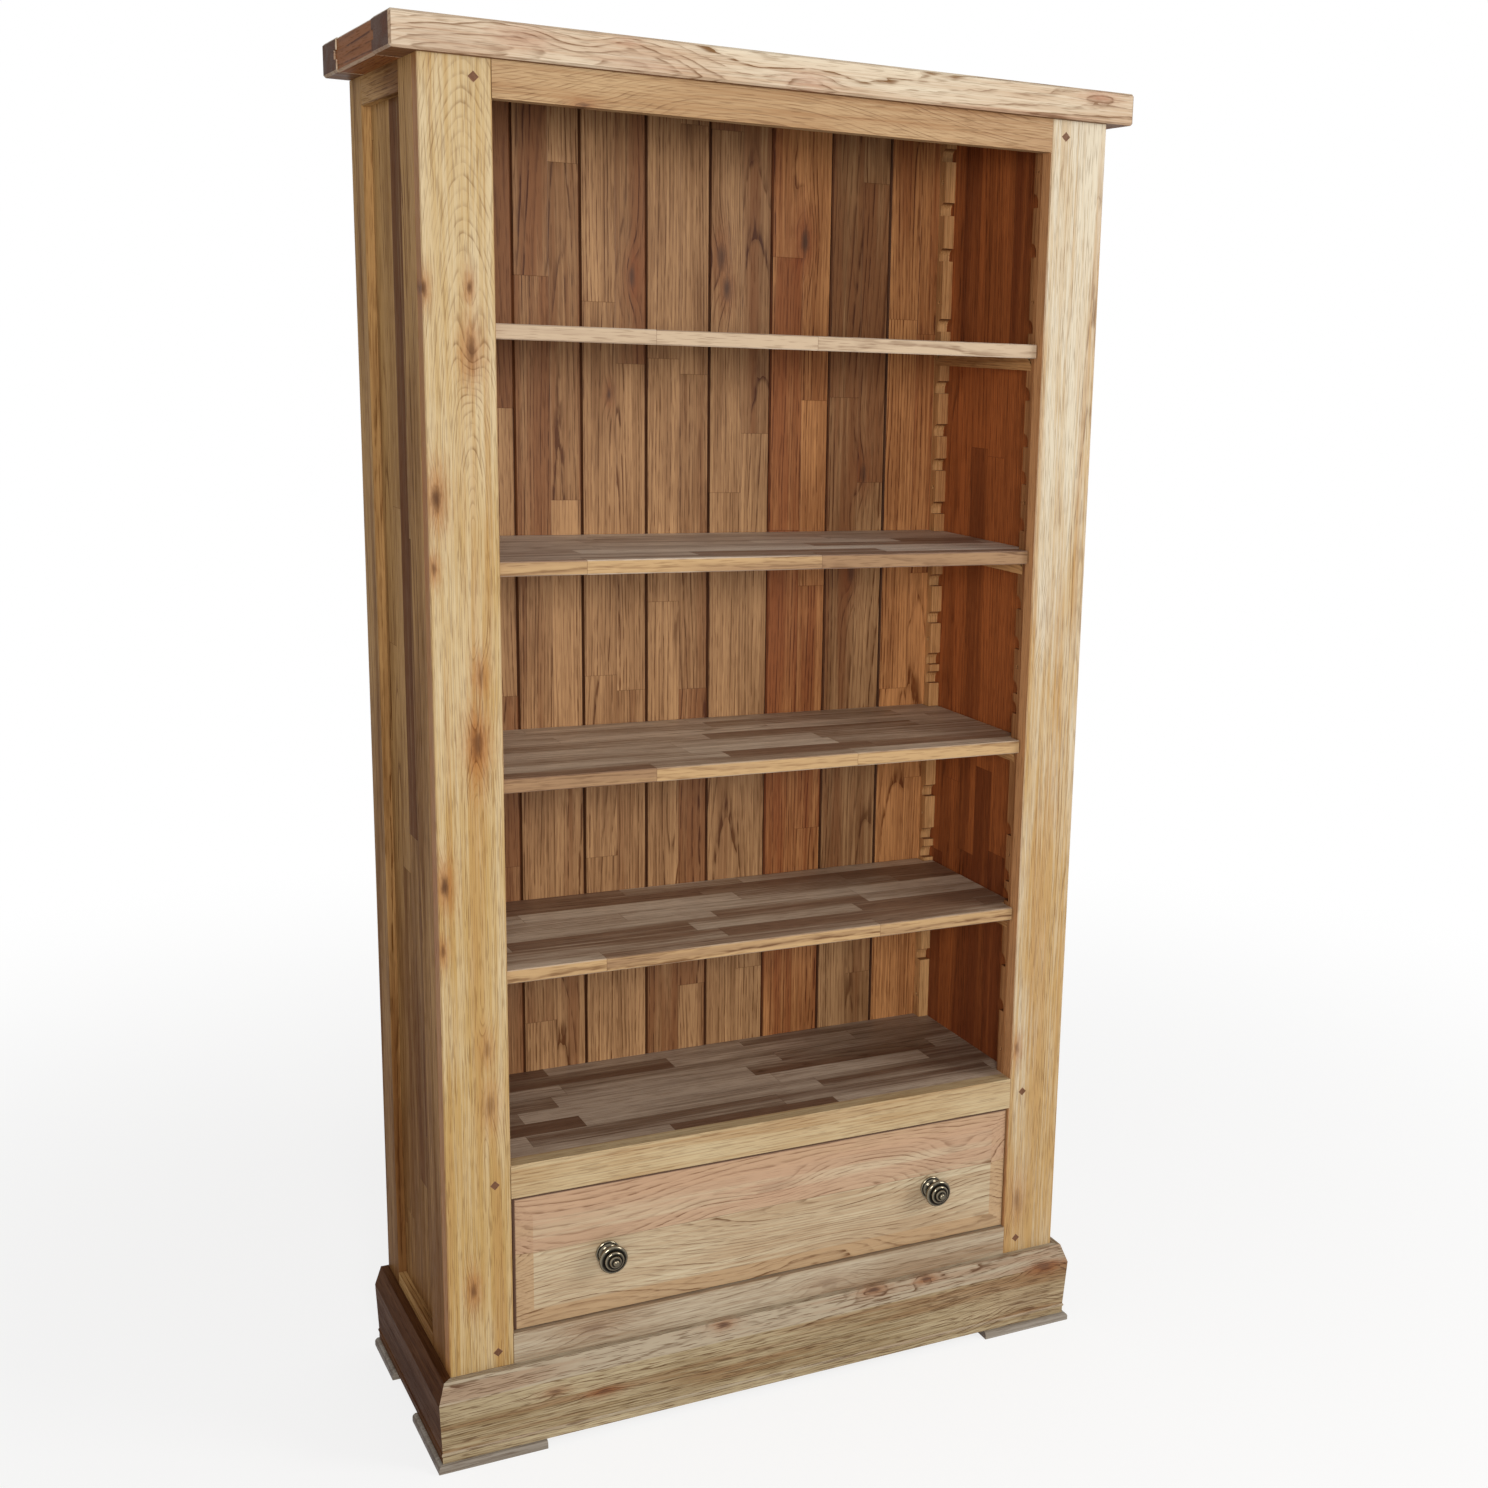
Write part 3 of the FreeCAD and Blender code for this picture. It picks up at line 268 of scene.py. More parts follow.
def make_knot_group():
    """Adds one knot to the running lift, halo and core."""
    tree, given, result = new_group(
        "knot",
        [("Vector", "Vector", None), ("Place", "Vector", None), ("Size", "Float", 0.01),
         ("Depth", "Float", 1), ("Lift", "Float", 0), ("Halo", "Float", 0), ("Core", "Float", 0)],
        [("Lift", "Float"), ("Halo", "Float"), ("Core", "Float")])
    away = vector_calc(tree, "SUBTRACT", given["Vector"], given["Place"])
    distance = vector_calc(tree, "LENGTH", vector_calc(tree, "MULTIPLY", away, KNOT_STRETCH))
    sizes = calc(tree, "DIVIDE", distance, given["Size"])
    ragged = cloud(tree, given["Vector"], KNOT_EDGE_BUMPS, detail=3, roughness=0.6).outputs[0]
    wander = calc(tree, "MULTIPLY", calc(tree, "SUBTRACT", ragged, HALF), KNOT_ROUGH_EDGE)
    reach = calc(tree, "ADD", sizes, calc(tree, "MULTIPLY", wander, sizes))
    lift = calc(tree, "MULTIPLY", bell(tree, sizes, LIFT_FADE), given["Size"])
    lift = calc(tree, "MULTIPLY", lift, LIFT_SHARE)
    filled = calc(tree, "MINIMUM", calc(tree, "MULTIPLY", given["Depth"], HALO_GAIN), 1.0)
    halo = calc(tree, "MULTIPLY", bell(tree, reach, HALO_FADE), filled)
    core = calc(tree, "SUBTRACT", 1.0, rise(tree, reach, *CORE_EDGES))
    core = calc(tree, "MULTIPLY", core, given["Depth"])
    feed(tree, result["Lift"], calc(tree, "ADD", given["Lift"], lift))
    feed(tree, result["Halo"], calc(tree, "MAXIMUM", given["Halo"], halo))
    feed(tree, result["Core"], calc(tree, "MAXIMUM", given["Core"], core))
    return tree


KNOT = make_knot_group()
print("group", KNOT.name)

# %% [markdown]
# Oak shows its years as rings round the pith. A sawn board cuts through them: straight lines where the
# saw passed far from the pith, and pointed arches where it ran nearly level with the rings. Both come from
# one formula, the distance from a pith line that leans a little against the board. Where it leans only
# from a hinge upwards, the arches start there. Each ring starts with a sharp dark line of open pores and
# fades, some years are weak, and every line is broken here and there. On top lie short pores, fine fibres,
# long streaks and broad clouds.

# %% Node group: the figure of the oak
# How far one step of the seed moves the pattern, in metres, and by how many years the rings wobble.
SEED_STEP = (1.37, 0.91, 0.53)
YEAR_WOBBLE = 1.5
# A hinge so far below every board that the pith line leans all along it.
NO_HINGE = -9.0
# How many bumps a metre holds along, across and through the board.
SWAY_BUMPS = (1.6, 11, 11)
RIPPLE_BUMPS = (16, 64, 64)
# Where in its year a ring's dark line fades, where the next one sets in, and how dark line and year are.
LINE_FADES = (0.02, 0.34)
NEXT_SETS_IN = (0.90, 1.0)
LINE_SHARE, YEAR_SHARE = 0.78, 0.22
# What is left of the weakest ring and of the widest gap in a ring, and what luck adds to each.
WEAKEST, LUCK_ADDS = 0.3, 0.7
GAP_LEFT, GAP_ADDS = 0.25, 0.75
# Each mask is its bumps a metre, its detail and roughness, and the two edges that it rises between.
GAPS = ((26, 170, 170), 2, 0.5, (0.38, 0.58))
MASKS = {"Pores": ((30, 560, 560), 1, 0.5, (0.54, 0.68)),
         "Fibres": ((4, 270, 270), 3, 0.7, (0.38, 0.62)),
         "Streaks": ((1.3, 36, 36), 3, 0.6, (0.36, 0.66)),
         "Clouds": ((4.5, 16, 16), 2, 0.5, (0.34, 0.66))}


def count_years(tree, given, place):
    """The distance from the pith line, counted in rings."""
    slow = cloud(tree, place, SWAY_BUMPS, detail=2, roughness=0.4).outputs["Color"]
    sway, nod, wobble = split(tree, vector_calc(tree, "SUBTRACT", slow, MIDDLE))
    quick = cloud(tree, place, RIPPLE_BUMPS, detail=2).outputs[0]
    ripple = calc(tree, "MULTIPLY", calc(tree, "SUBTRACT", quick, HALF), given["Ripple"])
    along, across, through = split(tree, given["Vector"])
    lean, aside, deep = split(tree, given["Pith"])
    wide = calc(tree, "MULTIPLY_ADD", sway, given["Waver"], calc(tree, "SUBTRACT", across, aside))
    bent = calc(tree, "MAXIMUM", along, given["Hinge"])
    tall = calc(tree, "MULTIPLY_ADD", lean, bent, calc(tree, "ADD", through, deep))
    tall = calc(tree, "MULTIPLY_ADD", nod, given["Waver"], tall)
    radius = calc(tree, "SQRT", calc(tree, "MULTIPLY_ADD", wide, wide, calc(tree, "MULTIPLY", tall, tall)))
    radius = calc(tree, "ADD", calc(tree, "ADD", radius, given["Lift"]), ripple)
    return calc(tree, "MULTIPLY_ADD", wobble, YEAR_WOBBLE, calc(tree, "DIVIDE", radius, given["Ring Width"]))


def darken_rings(tree, given, place, years):
    """A dark line at each ring's start that fades through its year."""
    since = calc(tree, "FRACT", years)
    line = calc(tree, "MAXIMUM", calc(tree, "SUBTRACT", 1.0, rise(tree, since, *LINE_FADES)),
                rise(tree, since, *NEXT_SETS_IN))
    left = calc(tree, "SUBTRACT", 1.0, since)
    fade = calc(tree, "MULTIPLY_ADD", left, YEAR_SHARE, calc(tree, "MULTIPLY", line, LINE_SHARE))
    luck, _ = chance(tree, join(tree, calc(tree, "FLOOR", years), given["Seed"], YEAR_DRAW))
    strong = calc(tree, "MULTIPLY_ADD", calc(tree, "MULTIPLY", luck, luck), LUCK_ADDS, WEAKEST)
    broken = calc(tree, "MULTIPLY_ADD", mask(tree, place, *GAPS), GAP_ADDS, GAP_LEFT)
    return calc(tree, "MULTIPLY", calc(tree, "MULTIPLY", fade, strong), broken)


def make_figure_group():
    """Rings, pores, fibres, streaks and clouds in a board. X runs along the grain."""
    tree, given, result = new_group(
        "oak figure",
        [("Vector", "Vector", None), ("Lift", "Float", 0), ("Seed", "Float", 0),
         ("Ring Width", "Float", 0.004), ("Pith", "Vector", None), ("Hinge", "Float", NO_HINGE),
         ("Waver", "Float", 0.02), ("Ripple", "Float", 0.001)],
        [("Rings", "Float"), *((name, "Float") for name in MASKS)])
    own = join(tree, *(calc(tree, "MULTIPLY", given["Seed"], step) for step in SEED_STEP))
    place = vector_calc(tree, "ADD", given["Vector"], own)
    years = count_years(tree, given, place)
    feed(tree, result["Rings"], darken_rings(tree, given, place, years))
    for name, parts in MASKS.items():
        feed(tree, result[name], mask(tree, place, *parts))
    return tree


FIGURE = make_figure_group()
print("group", FIGURE.name)

# %% [markdown]
# The last shared step turns these masks into colour. Light sapwood, darker heartwood and a reddish streak
# are mixed by the streaks and by each stave's own tone. Rings and pores darken what is there instead of
# painting one fixed brown, so they stay in keeping on pale and on dark boards. End grain drinks more wax
# and comes out darker, which marks the ends of the top's boards in the picture together with painted shade.

# %% Node group: the waxed finish
# Knot cores take this brown, and so does the painted gap shade line on the drawer front's edges.
KNOT_BROWN = (0.075, 0.034, 0.018, 1)
DEEP_SHADE = (0.30, 0.19, 0.11, 1)
# How much clouds, fibres and streaks add to the darker colour.
CLOUD_SHARE, FIBRE_SHARE, STREAK_SHARE = 0.35, 0.45, 0.45
# What the streaks add to the tint, the two edges that its red rises between, and how red a halo is.
RED_STREAK_SHARE = 0.5
RED_EDGES = (0.75, 1.25)
HALO_RED = 0.75
# How dark end grain and the joints between staves are.
END_DEPTH, JOINT_DEPTH = 0.85, 0.65
# How rough the wax is, and what pores and streaks add to that.
WAX_ROUGHNESS, PORE_ROUGHNESS, STREAK_ROUGHNESS = 0.42, 0.12, 0.10
# How far rings and pores sink in, where a joint or a knot's core sinks by 1.
RING_SINKS, PORE_SINKS = 0.5, 0.5


def make_finish_group():
    """Colour, roughness and height of waxed oak from its masks."""
    masks = ("Rings", *MASKS, "Joint", "Halo", "Core", "End")
    tree, given, result = new_group(
        "waxed oak",
        [("Light", "Color", None), ("Dark", "Color", None), ("Heart", "Color", None),
         *((name, "Float", 0) for name in masks), ("Tone", "Float", 0.5), ("Tint", "Float", 0.5),
         ("Ring Depth", "Float", 0.4), ("Pore Depth", "Float", 0.36), ("Heart Share", "Float", 0.3),
         ("Tone Spread", "Float", 0.5)],
        [("Color", "Color"), ("Roughness", "Float"), ("Height", "Float")])
    tone = calc(tree, "MULTIPLY", calc(tree, "SUBTRACT", given["Tone"], HALF), given["Tone Spread"])
    drift = calc(tree, "MULTIPLY_ADD", given["Clouds"], CLOUD_SHARE, tone)
    drift = calc(tree, "MULTIPLY_ADD", given["Fibres"], FIBRE_SHARE, drift)
    share = calc(tree, "MULTIPLY_ADD", given["Streaks"], STREAK_SHARE, drift, clamp=True)
    wood = blend(tree, share, given["Light"], given["Dark"])
    red = calc(tree, "MULTIPLY_ADD", given["Streaks"], RED_STREAK_SHARE, given["Tint"])
    red = calc(tree, "MULTIPLY", rise(tree, red, *RED_EDGES), given["Heart Share"])
    red = calc(tree, "MULTIPLY_ADD", given["Halo"], HALO_RED, red, clamp=True)
    wood = blend(tree, red, wood, given["Heart"])
    deep = blend(tree, 1.0, wood, DEEP_SHADE, how="MULTIPLY")
    depths = {"Rings": given["Ring Depth"], "Pores": given["Pore Depth"],
              "End": END_DEPTH, "Joint": JOINT_DEPTH}
    for name, depth in depths.items():
        wood = blend(tree, calc(tree, "MULTIPLY", given[name], depth), wood, deep)
    feed(tree, result["Color"], blend(tree, given["Core"], wood, KNOT_BROWN))
    rough = calc(tree, "MULTIPLY_ADD", given["Pores"], PORE_ROUGHNESS, WAX_ROUGHNESS)
    feed(tree, result["Roughness"], calc(tree, "MULTIPLY_ADD", given["Streaks"], STREAK_ROUGHNESS, rough))
    sunk = calc(tree, "MULTIPLY", given["Pores"], PORE_SINKS)
    sunk = calc(tree, "MULTIPLY_ADD", given["Rings"], RING_SINKS, sunk)
    sunk = calc(tree, "ADD", sunk, calc(tree, "MAXIMUM", given["Joint"], given["Core"]))
    feed(tree, result["Height"], calc(tree, "SUBTRACT", 1.0, sunk))
    return tree


FINISH = make_finish_group()
print("group", FINISH.name)

# %% [markdown]
# Every board gets a material of its own from these groups. The Mapping node turns the board's coordinates
# so that X runs along its grain and puts zero in its middle, and the seed keeps two boards from having the
# same figure. First come the small parts: a colour read off a picture, a group node with its values, the
# board's own coordinates, and masks for the faces that look one way.

# %% Small parts of a board's material
DIRECTIONS = {"X": Vector((1, 0, 0)), "Y": Vector((0, 1, 0)), "Z": Vector((0, 0, 1))}
# How far a face has to look down before the mask starts, and where it is full.
DOWN_TURN = (-0.6, -0.9)
PICTURE_WHITE = 255
# The curve between a picture's numbers and light: a straight foot, then a power.
CURVE_FOOT, FOOT_SLOPE = 0.04045, 12.92
CURVE_LIFT, CURVE_POWER = 0.055, 2.4


def to_light(value):
    """One channel of a picture, from 0 to 255, turned into light."""
    share = value / PICTURE_WHITE
    if share <= CURVE_FOOT:
        return share / FOOT_SLOPE
    return ((share + CURVE_LIFT) / (1 + CURVE_LIFT)) ** CURVE_POWER


def hue(red, green, blue):
    """A colour as a picture shows it."""
    return (to_light(red), to_light(green), to_light(blue), 1)


def place_group(tree, group, **values):
    """One group node with its values, by the names of its inputs."""
    node = tree.nodes.new("ShaderNodeGroup")
    node.node_tree = group
    for name, value in values.items():
        feed(tree, node.inputs[name.replace("_", " ")], value)
    return node.outputs


def grain_place(tree, node, along, across):
    """Object coordinates with X along the grain, Y across it and zero in the middle of the board."""
    low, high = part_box(node)
    first, second = DIRECTIONS[along], DIRECTIONS[across]
    turn = Matrix((first, second, first.cross(second))).transposed()
    mapping = tree.nodes.new("ShaderNodeMapping")
    mapping.vector_type = "TEXTURE"
    mapping.inputs["Location"].default_value = (low + high) / 2
    mapping.inputs["Rotation"].default_value = turn.to_euler()
    coordinates = tree.nodes.new("ShaderNodeTexCoord")
    feed(tree, mapping.inputs["Vector"], coordinates.outputs["Object"])
    size = high - low
    return mapping.outputs[0], size.dot(first), size.dot(second)


def facing(tree, direction, low=0.6, high=0.9):
    """1 where the face looks along a direction, either way. With low above high it is 1 where it doesn't."""
    normal = tree.nodes.new("ShaderNodeNewGeometry").outputs["True Normal"]
    share = vector_calc(tree, "DOT_PRODUCT", normal, DIRECTIONS[direction])
    return rise(tree, calc(tree, "ABSOLUTE", share), low, high)


def looks_down(tree):
    """1 on faces that look down."""
    normal = tree.nodes.new("ShaderNodeNewGeometry").outputs["True Normal"]
    return rise(tree, split(tree, normal)[2], *DOWN_TURN)


print("small parts ready, white is", hue(PICTURE_WHITE, PICTURE_WHITE, PICTURE_WHITE))

# %% [markdown]
# A board's material is built up the way the board was: it is glued up from staves and it has its knots.
# Some of its faces and edges also carry painted light or shade, a colour of their own that stands in for
# how the light falls on them. Each of these is a short function, so that a plain board can leave it out.

# %% Staves, knots and painted light on the faces of one board
# How far a face has to look along Y before it counts as the board's front, and where it counts in full.
FRONT_TURN = (0.3, 0.6)


def glue_up(tree, board, width, staves, start, seed):
    """The pattern and the look of a board's staves, whose rows start at a share of its width."""
    glued = place_group(tree, STAVES, Vector=board, Width=staves[0], Length=staves[1], Seed=float(seed),
                        Start=(start - HALF) * width)
    return glued["Vector"], {name: glued[name] for name in ("Tone", "Tint", "Joint")}


def add_knots(tree, board, length, width, knots):
    """The lift, halo and core of knots, each given as (share along, share across, size, depth of colour)."""
    running = {"Lift": 0.0, "Halo": 0.0, "Core": 0.0}
    for up, aside, size, depth in knots:
        centre = ((up - HALF) * length, (aside - HALF) * width, 0)
        knot = place_group(tree, KNOT, Vector=board, Place=centre, Size=size, Depth=depth, **running)
        running = {name: knot[name] for name in running}
    return running


def painted_gap_shade_line(tree, right, up, length, width, thick):
    """1 on a line of painted shade along the upper and left edges of a board's front, for the gap there."""
    left_line = rise(tree, right, thick - length / 2, thick / 2 - length / 2)
    top_line = rise(tree, up, width / 2 - thick, width / 2 - thick / 2)
    return calc(tree, "MULTIPLY", calc(tree, "MAXIMUM", left_line, top_line), facing(tree, "Y", *FRONT_TURN))


def lip_colours(tree, wood):
    """The light and dark colour of a board whose faces that look one way are painted one colour of their own,
    as painted light or shade.
    """
    if not wood["lip"]:
        return wood["light"], wood["dark"]
    lip = facing(tree, wood["lip_axis"], *wood["lip_turn"])
    # Faces that look down get the painted colour too, as painted shade under the board.
    if wood["lip_below"]:
        lip = calc(tree, "MAXIMUM", lip, looks_down(tree))
    return blend(tree, lip, wood["light"], wood["lip"]), blend(tree, lip, wood["dark"], wood["lip"])


print("staves, knots and edges ready")

# %% [markdown]
# Now the parts come together in one material. A single function for every board means that a change to the
# wood reaches them all, while the kind of oak, the staves and the knots are what a board brings with it.

# %% One oak material for one board
BUMP_DEPTH = 0.0006
BUMP_STRENGTH = 0.35
# A pith line: its lean along the board, and how far it lies aside and below the middle, in metres.
PITH = (0.02, 0.045, 0.035)


def wire(tree, finish, shine):
    """Joins a finish to the material's own shader."""
    shader = tree.nodes["Principled BSDF"]
    bump = tree.nodes.new("ShaderNodeBump")
    bump.inputs["Distance"].default_value = BUMP_DEPTH
    bump.inputs["Strength"].default_value = BUMP_STRENGTH
    feed(tree, bump.inputs["Height"], finish["Height"])
    feed(tree, shader.inputs["Base Color"], finish["Color"])
    feed(tree, shader.inputs["Roughness"], finish["Roughness"])
    feed(tree, shader.inputs["Normal"], bump.outputs[0])
    shader.inputs["Specular IOR Level"].default_value = shine


def oak(node, wood, along, across, seed, staves=None, start=HALF, knots=(), pith=PITH, hinge=None,
        pink_above=None):
    """The waxed wood of one board. Staves are (width, length), and start, hinge and pink_above are shares:
    where the staves' rows start across, where the pith line starts to lean, and above which all is pink."""
    material = bpy.data.materials.new(f"{wood['name']} {node}")
    material.use_nodes = True
    tree = material.node_tree
    board, length, width = grain_place(tree, node, along, across)
    place, look = board, {"Tone": HALF}
    if staves:
        place, look = glue_up(tree, board, width, staves, start, seed)
    right, up, _ = split(tree, board)
    # The painted light drop darkens one end of the grain and lightens the other, as painted shade and light.
    look["Tone"] = calc(tree, "ADD", look["Tone"], calc(tree, "MULTIPLY", right, -wood["drop"] / length))
    if pink_above is not None:
        joint = (pink_above - HALF) * width
        look["Tint"] = rise(tree, up, joint - JOINT_WIDTH, joint + JOINT_WIDTH)
    stumps = add_knots(tree, board, length, width, knots)
    look["Halo"], look["Core"] = stumps["Halo"], stumps["Core"]
    # A dark line of painted shade for the gap on the upper and left edges joins the knots' cores.
    if wood["shade"]:
        line = painted_gap_shade_line(tree, right, up, length, width, wood["shade"])
        look["Core"] = calc(tree, "MAXIMUM", look["Core"], line)
    figure = place_group(tree, FIGURE, Vector=place, Lift=stumps["Lift"], Seed=float(seed), Pith=pith,
                         Hinge=NO_HINGE if hinge is None else (hinge - HALF) * length,
                         Ring_Width=wood["ring_width"], Waver=wood["waver"], Ripple=wood["ripple"])
    look.update({name: figure[name] for name in ("Rings", *MASKS)})
    light, dark = lip_colours(tree, wood)
    finish = place_group(tree, FINISH, Light=light, Dark=dark, Heart=wood["heart"], End=facing(tree, along),
                         Ring_Depth=wood["ring_depth"], Pore_Depth=wood["pore_depth"],
                         Heart_Share=wood["heart_share"], Tone_Spread=wood["tone_spread"], **look)
    wire(tree, finish, wood["shine"])
    return material


def dress(node, material):
    """Gives a finished piece its material, in every slot that it has."""
    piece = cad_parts[node]
    if not piece.material_slots:
        piece.data.materials.append(material)
    for slot in piece.material_slots:
        slot.material = material


def wax(node, wood, along, across, **more):
    """Dresses one piece in waxed wood."""
    dress(node, oak(node, wood, along, across, **more))


print("oak materials can be made")

# %% [markdown]
# One oak tree gives many colours. The front frame is pale honey, the top is pinker, the sides and the
# linings are heartwood, the right lining with painted warm bounce light, and the loose shelves are a
# little grey, the second with a painted sheen. Each kind below is a handful of numbers: three colours, how
# wide and how strong its rings are, and how much its staves differ. It names only what differs from a plain
# board. The hidden parts are pine, which the same rings draw well enough.

# %% The kinds of wood in this bookcase
# Ring width, waver, ripple and the painted gap shade are in metres. A painted light face is faces painted one
# colour of their own as painted light or shade, a painted light drop darkens the lower, left or front end of
# the grain as painted shade and lightens the other end, the other way round when it is below zero, and a
# painted gap shade is a dark line painted on the front's upper and left edges for the shade in the gap there.
PLAIN = {"ring_width": 0.0034, "ring_depth": 0.7, "pore_depth": 0.36, "waver": 0.02, "ripple": 0.0015,
         "tone_spread": 0.6, "heart_share": 0.4, "lip": None, "lip_axis": "Y", "lip_turn": (0.6, 0.9),
         "lip_below": False, "drop": 0.0, "shine": 0.25, "shade": 0.0}
COLOURS = ("light", "dark", "heart", "lip")


def like(wood, name, **changes):
    """A kind of wood like another one, apart from the values that are given."""
    colours = {part: hue(*value) for part, value in changes.items() if part in COLOURS}
    return {**wood, **changes, **colours, "name": name}


def kind(name, light, dark, heart, **changes):
    """A kind of wood by its three colours and by what else differs from a plain board."""
    return like(PLAIN, name, light=light, dark=dark, heart=heart, **changes)


# Honey oak's painted light drop darkens the deck rail towards its left end as painted shade.
HONEY = kind("honey oak", (191, 173, 138), (167, 139, 100), (146, 104, 66), drop=0.3)
# The left stile's painted light drop lightens its top and darkens its foot, and its side faces are painted
# brown: painted light and shade.
STILE = kind("stile oak", (196, 177, 143), (176, 145, 93), (154, 97, 50), ring_width=0.0026, waver=0.012,
             drop=0.9, lip=(160, 110, 60), lip_axis="X", shine=0.05)
# The right stile is painted paler and greyer towards its top as a painted sheen, darker towards its foot and
# warmer brown on its side faces as painted shade.
SHEEN_STILE = kind("stile oak with painted sheen", (201, 190, 168), (177, 144, 94), (156, 104, 60), ring_width=0.0026, waver=0.012,
            tone_spread=0.9, drop=1.0, lip=(196, 144, 98), lip_axis="X")
# The top rail is painted darker as painted shade under the top's overhang.
SHADED_RAIL = kind("rail oak", (182, 153, 115), (155, 119, 81), (140, 92, 55), ripple=0.003)
LOW_RAIL = kind("low rail oak", (181, 168, 146), (150, 129, 104), (136, 100, 70), ripple=0.003,
                heart_share=0.6)
# Top and end boards are painted dark brown on their faces to the sides and below: painted shade, over the
# long boards' darker end grain.
TOP = kind("top oak", (211, 198, 176), (184, 157, 130), (158, 96, 72), ring_width=0.005, ring_depth=1.2,
           ripple=0.006, heart_share=0.6, lip=(118, 82, 50), lip_axis="X", lip_below=True, shine=0.03)
CAP = kind("top end oak", (210, 192, 168), (182, 150, 122), (110, 56, 26), ring_width=0.005, ring_depth=1.2,
           heart_share=0.3, lip=(142, 88, 46), lip_axis="X", lip_below=True, shine=0.02)
# The sides' painted light drop darkens them towards the bottom as painted shade.
SIDE = kind("side oak", (180, 141, 91), (124, 86, 49), (99, 58, 30), ring_width=0.0045, ring_depth=1.3,
            heart_share=0.8, tone_spread=0.9, drop=1.3, shine=0.01)
# The right lining's strong orange is heartwood with painted warm bounce light; the calm lining is without it.
LINING = kind("lining oak", (184, 106, 56), (140, 76, 38), (112, 52, 26), ring_width=0.0045, ring_depth=1.2,
              heart_share=0.6)
CALM_LINING = like(LINING, "calm lining oak", light=(186, 132, 86), dark=(134, 88, 52), heart=(110, 60, 34))
# The back's dark lip is painted shade in its bevelled edges, and its painted light drop darkens the boards
# towards the top as painted shade.
BACK = kind("back oak", (185, 144, 101), (134, 95, 60), (130, 78, 44), ring_width=0.005, ring_depth=1.6,
            waver=0.03, tone_spread=0.7, heart_share=0.5, lip=(80, 48, 27), lip_turn=(0.998, 0.93), drop=-0.4)
# The red boards on the right are lighter and redder, their own tone with painted warm bounce light.
RED_BACK = like(BACK, "red back oak", light=(206, 148, 94), dark=(150, 96, 54), heart=(140, 72, 36),
                tone_spread=0.65, drop=-0.2)
# A shelf's front faces are painted one colour of their own, as painted light on the edge that faces the
# lamps.
SHELF = kind("shelf oak", (208, 192, 172), (148, 122, 100), (116, 82, 62), ring_depth=1.2, tone_spread=1.1,
             heart_share=0.6, lip=(180, 148, 106))
# The first shelf's front edge is painted paler still, as painted light.
LIT_EDGE_SHELF = like(SHELF, "shelf oak with painted lit edge", lip=(184, 162, 136))
# The second shelf is painted greyer all over, as a painted sheen on its top.
SHEEN_SHELF = like(SHELF, "shelf oak with painted sheen", light=(226, 216, 202), dark=(168, 148, 132))
DECK = kind("deck oak", (182, 164, 146), (120, 98, 80), (100, 68, 50), ring_depth=1.2, tone_spread=1.1,
            heart_share=0.7)
EDGE = kind("strip oak", (216, 170, 116), (176, 126, 78), (140, 84, 48))
PLINTH = kind("plinth oak", (182, 167, 136), (135, 115, 82), (132, 86, 50), ring_depth=1.4, pore_depth=0.75,
              ripple=0.005, heart_share=0.8)
# The front plinth's faces that don't look straight ahead, its bevel and moulding, are painted one colour as a
# painted sheen.
SHEEN_PLINTH = like(PLINTH, "plinth oak with painted sheen", lip=(164, 150, 128), lip_turn=(0.998, 0.97))
# The left plinth is painted darker as painted shade on the left side.
SHADED_PLINTH = kind("plinth oak with painted shade", (98, 64, 38), (72, 42, 22), (58, 30, 14), ring_depth=0.9,
                   heart_share=0.5, shine=0.01)
FOOT = kind("foot oak", (150, 142, 132), (120, 110, 98), (98, 82, 68))
PEG = kind("peg oak", (174, 138, 110), (146, 110, 84), (100, 64, 46), ring_width=0.0015)
# The drawer front's bevels are painted a colour of their own as painted shade, and a painted shade line on
# its upper and left edges stands for the gap.
DRAWER = kind("drawer oak", (194, 180, 152), (168, 144, 114), (176, 143, 116), ring_width=0.0042,
              ring_depth=1.3, pore_depth=0.22, waver=0.03, ripple=0.004, tone_spread=0.3, heart_share=0.8,
              lip=(174, 143, 107), lip_turn=(0.998, 0.97), shade=0.0045)
PINE = kind("drawer pine", (226, 198, 152), (206, 168, 118), (186, 134, 86), ring_width=0.006)
print("kinds of wood from", HONEY["name"], "to", PINE["name"])

# %% [markdown]
# Now the pieces are dressed, family by family. The grain always follows the length of the board, because
# that is how a joiner cuts it: upright in stiles and posts, level in rails and shelves. Knots are given as
# the photograph shows them: a share along and a share across the board, a size in metres and how deep the
# colour is.

# %% The front frame
FRAME_KNOTS = {
    "left_front_stile": ((0.853, 0.03, 0.005, 0.9), (0.855, 0.64, 0.005, 0.9),
                         (0.815, 0.65, 0.009, 0.75), (0.716, 0.12, 0.009, 0.9), (0.669, 0.06, 0.005, 0.8),
                         (0.594, 0.69, 0.007, 0.5), (0.545, 0.62, 0.011, 0.7), (0.445, 0.10, 0.008, 0.9),
                         (0.397, 0.05, 0.005, 0.8), (0.319, 0.67, 0.007, 0.4), (0.275, 0.70, 0.009, 0.4),
                         (0.131, 0.39, 0.007, 0.7)),
    "right_front_stile": ((0.62, 0.30, 0.012, 0.1), (0.252, 0.10, 0.006, 0.6),
                          (0.112, 0.24, 0.010, 0.4)),
    "top_front_rail": ((0.175, 0.05, 0.005, 0.9), (0.30, 0.55, 0.030, 0.0), (0.55, 0.45, 0.040, 0.0)),
    "bottom_front_rail": ((0.178, 0.74, 0.010, 0.35), (0.60, 0.60, 0.010, 0.3)),
}
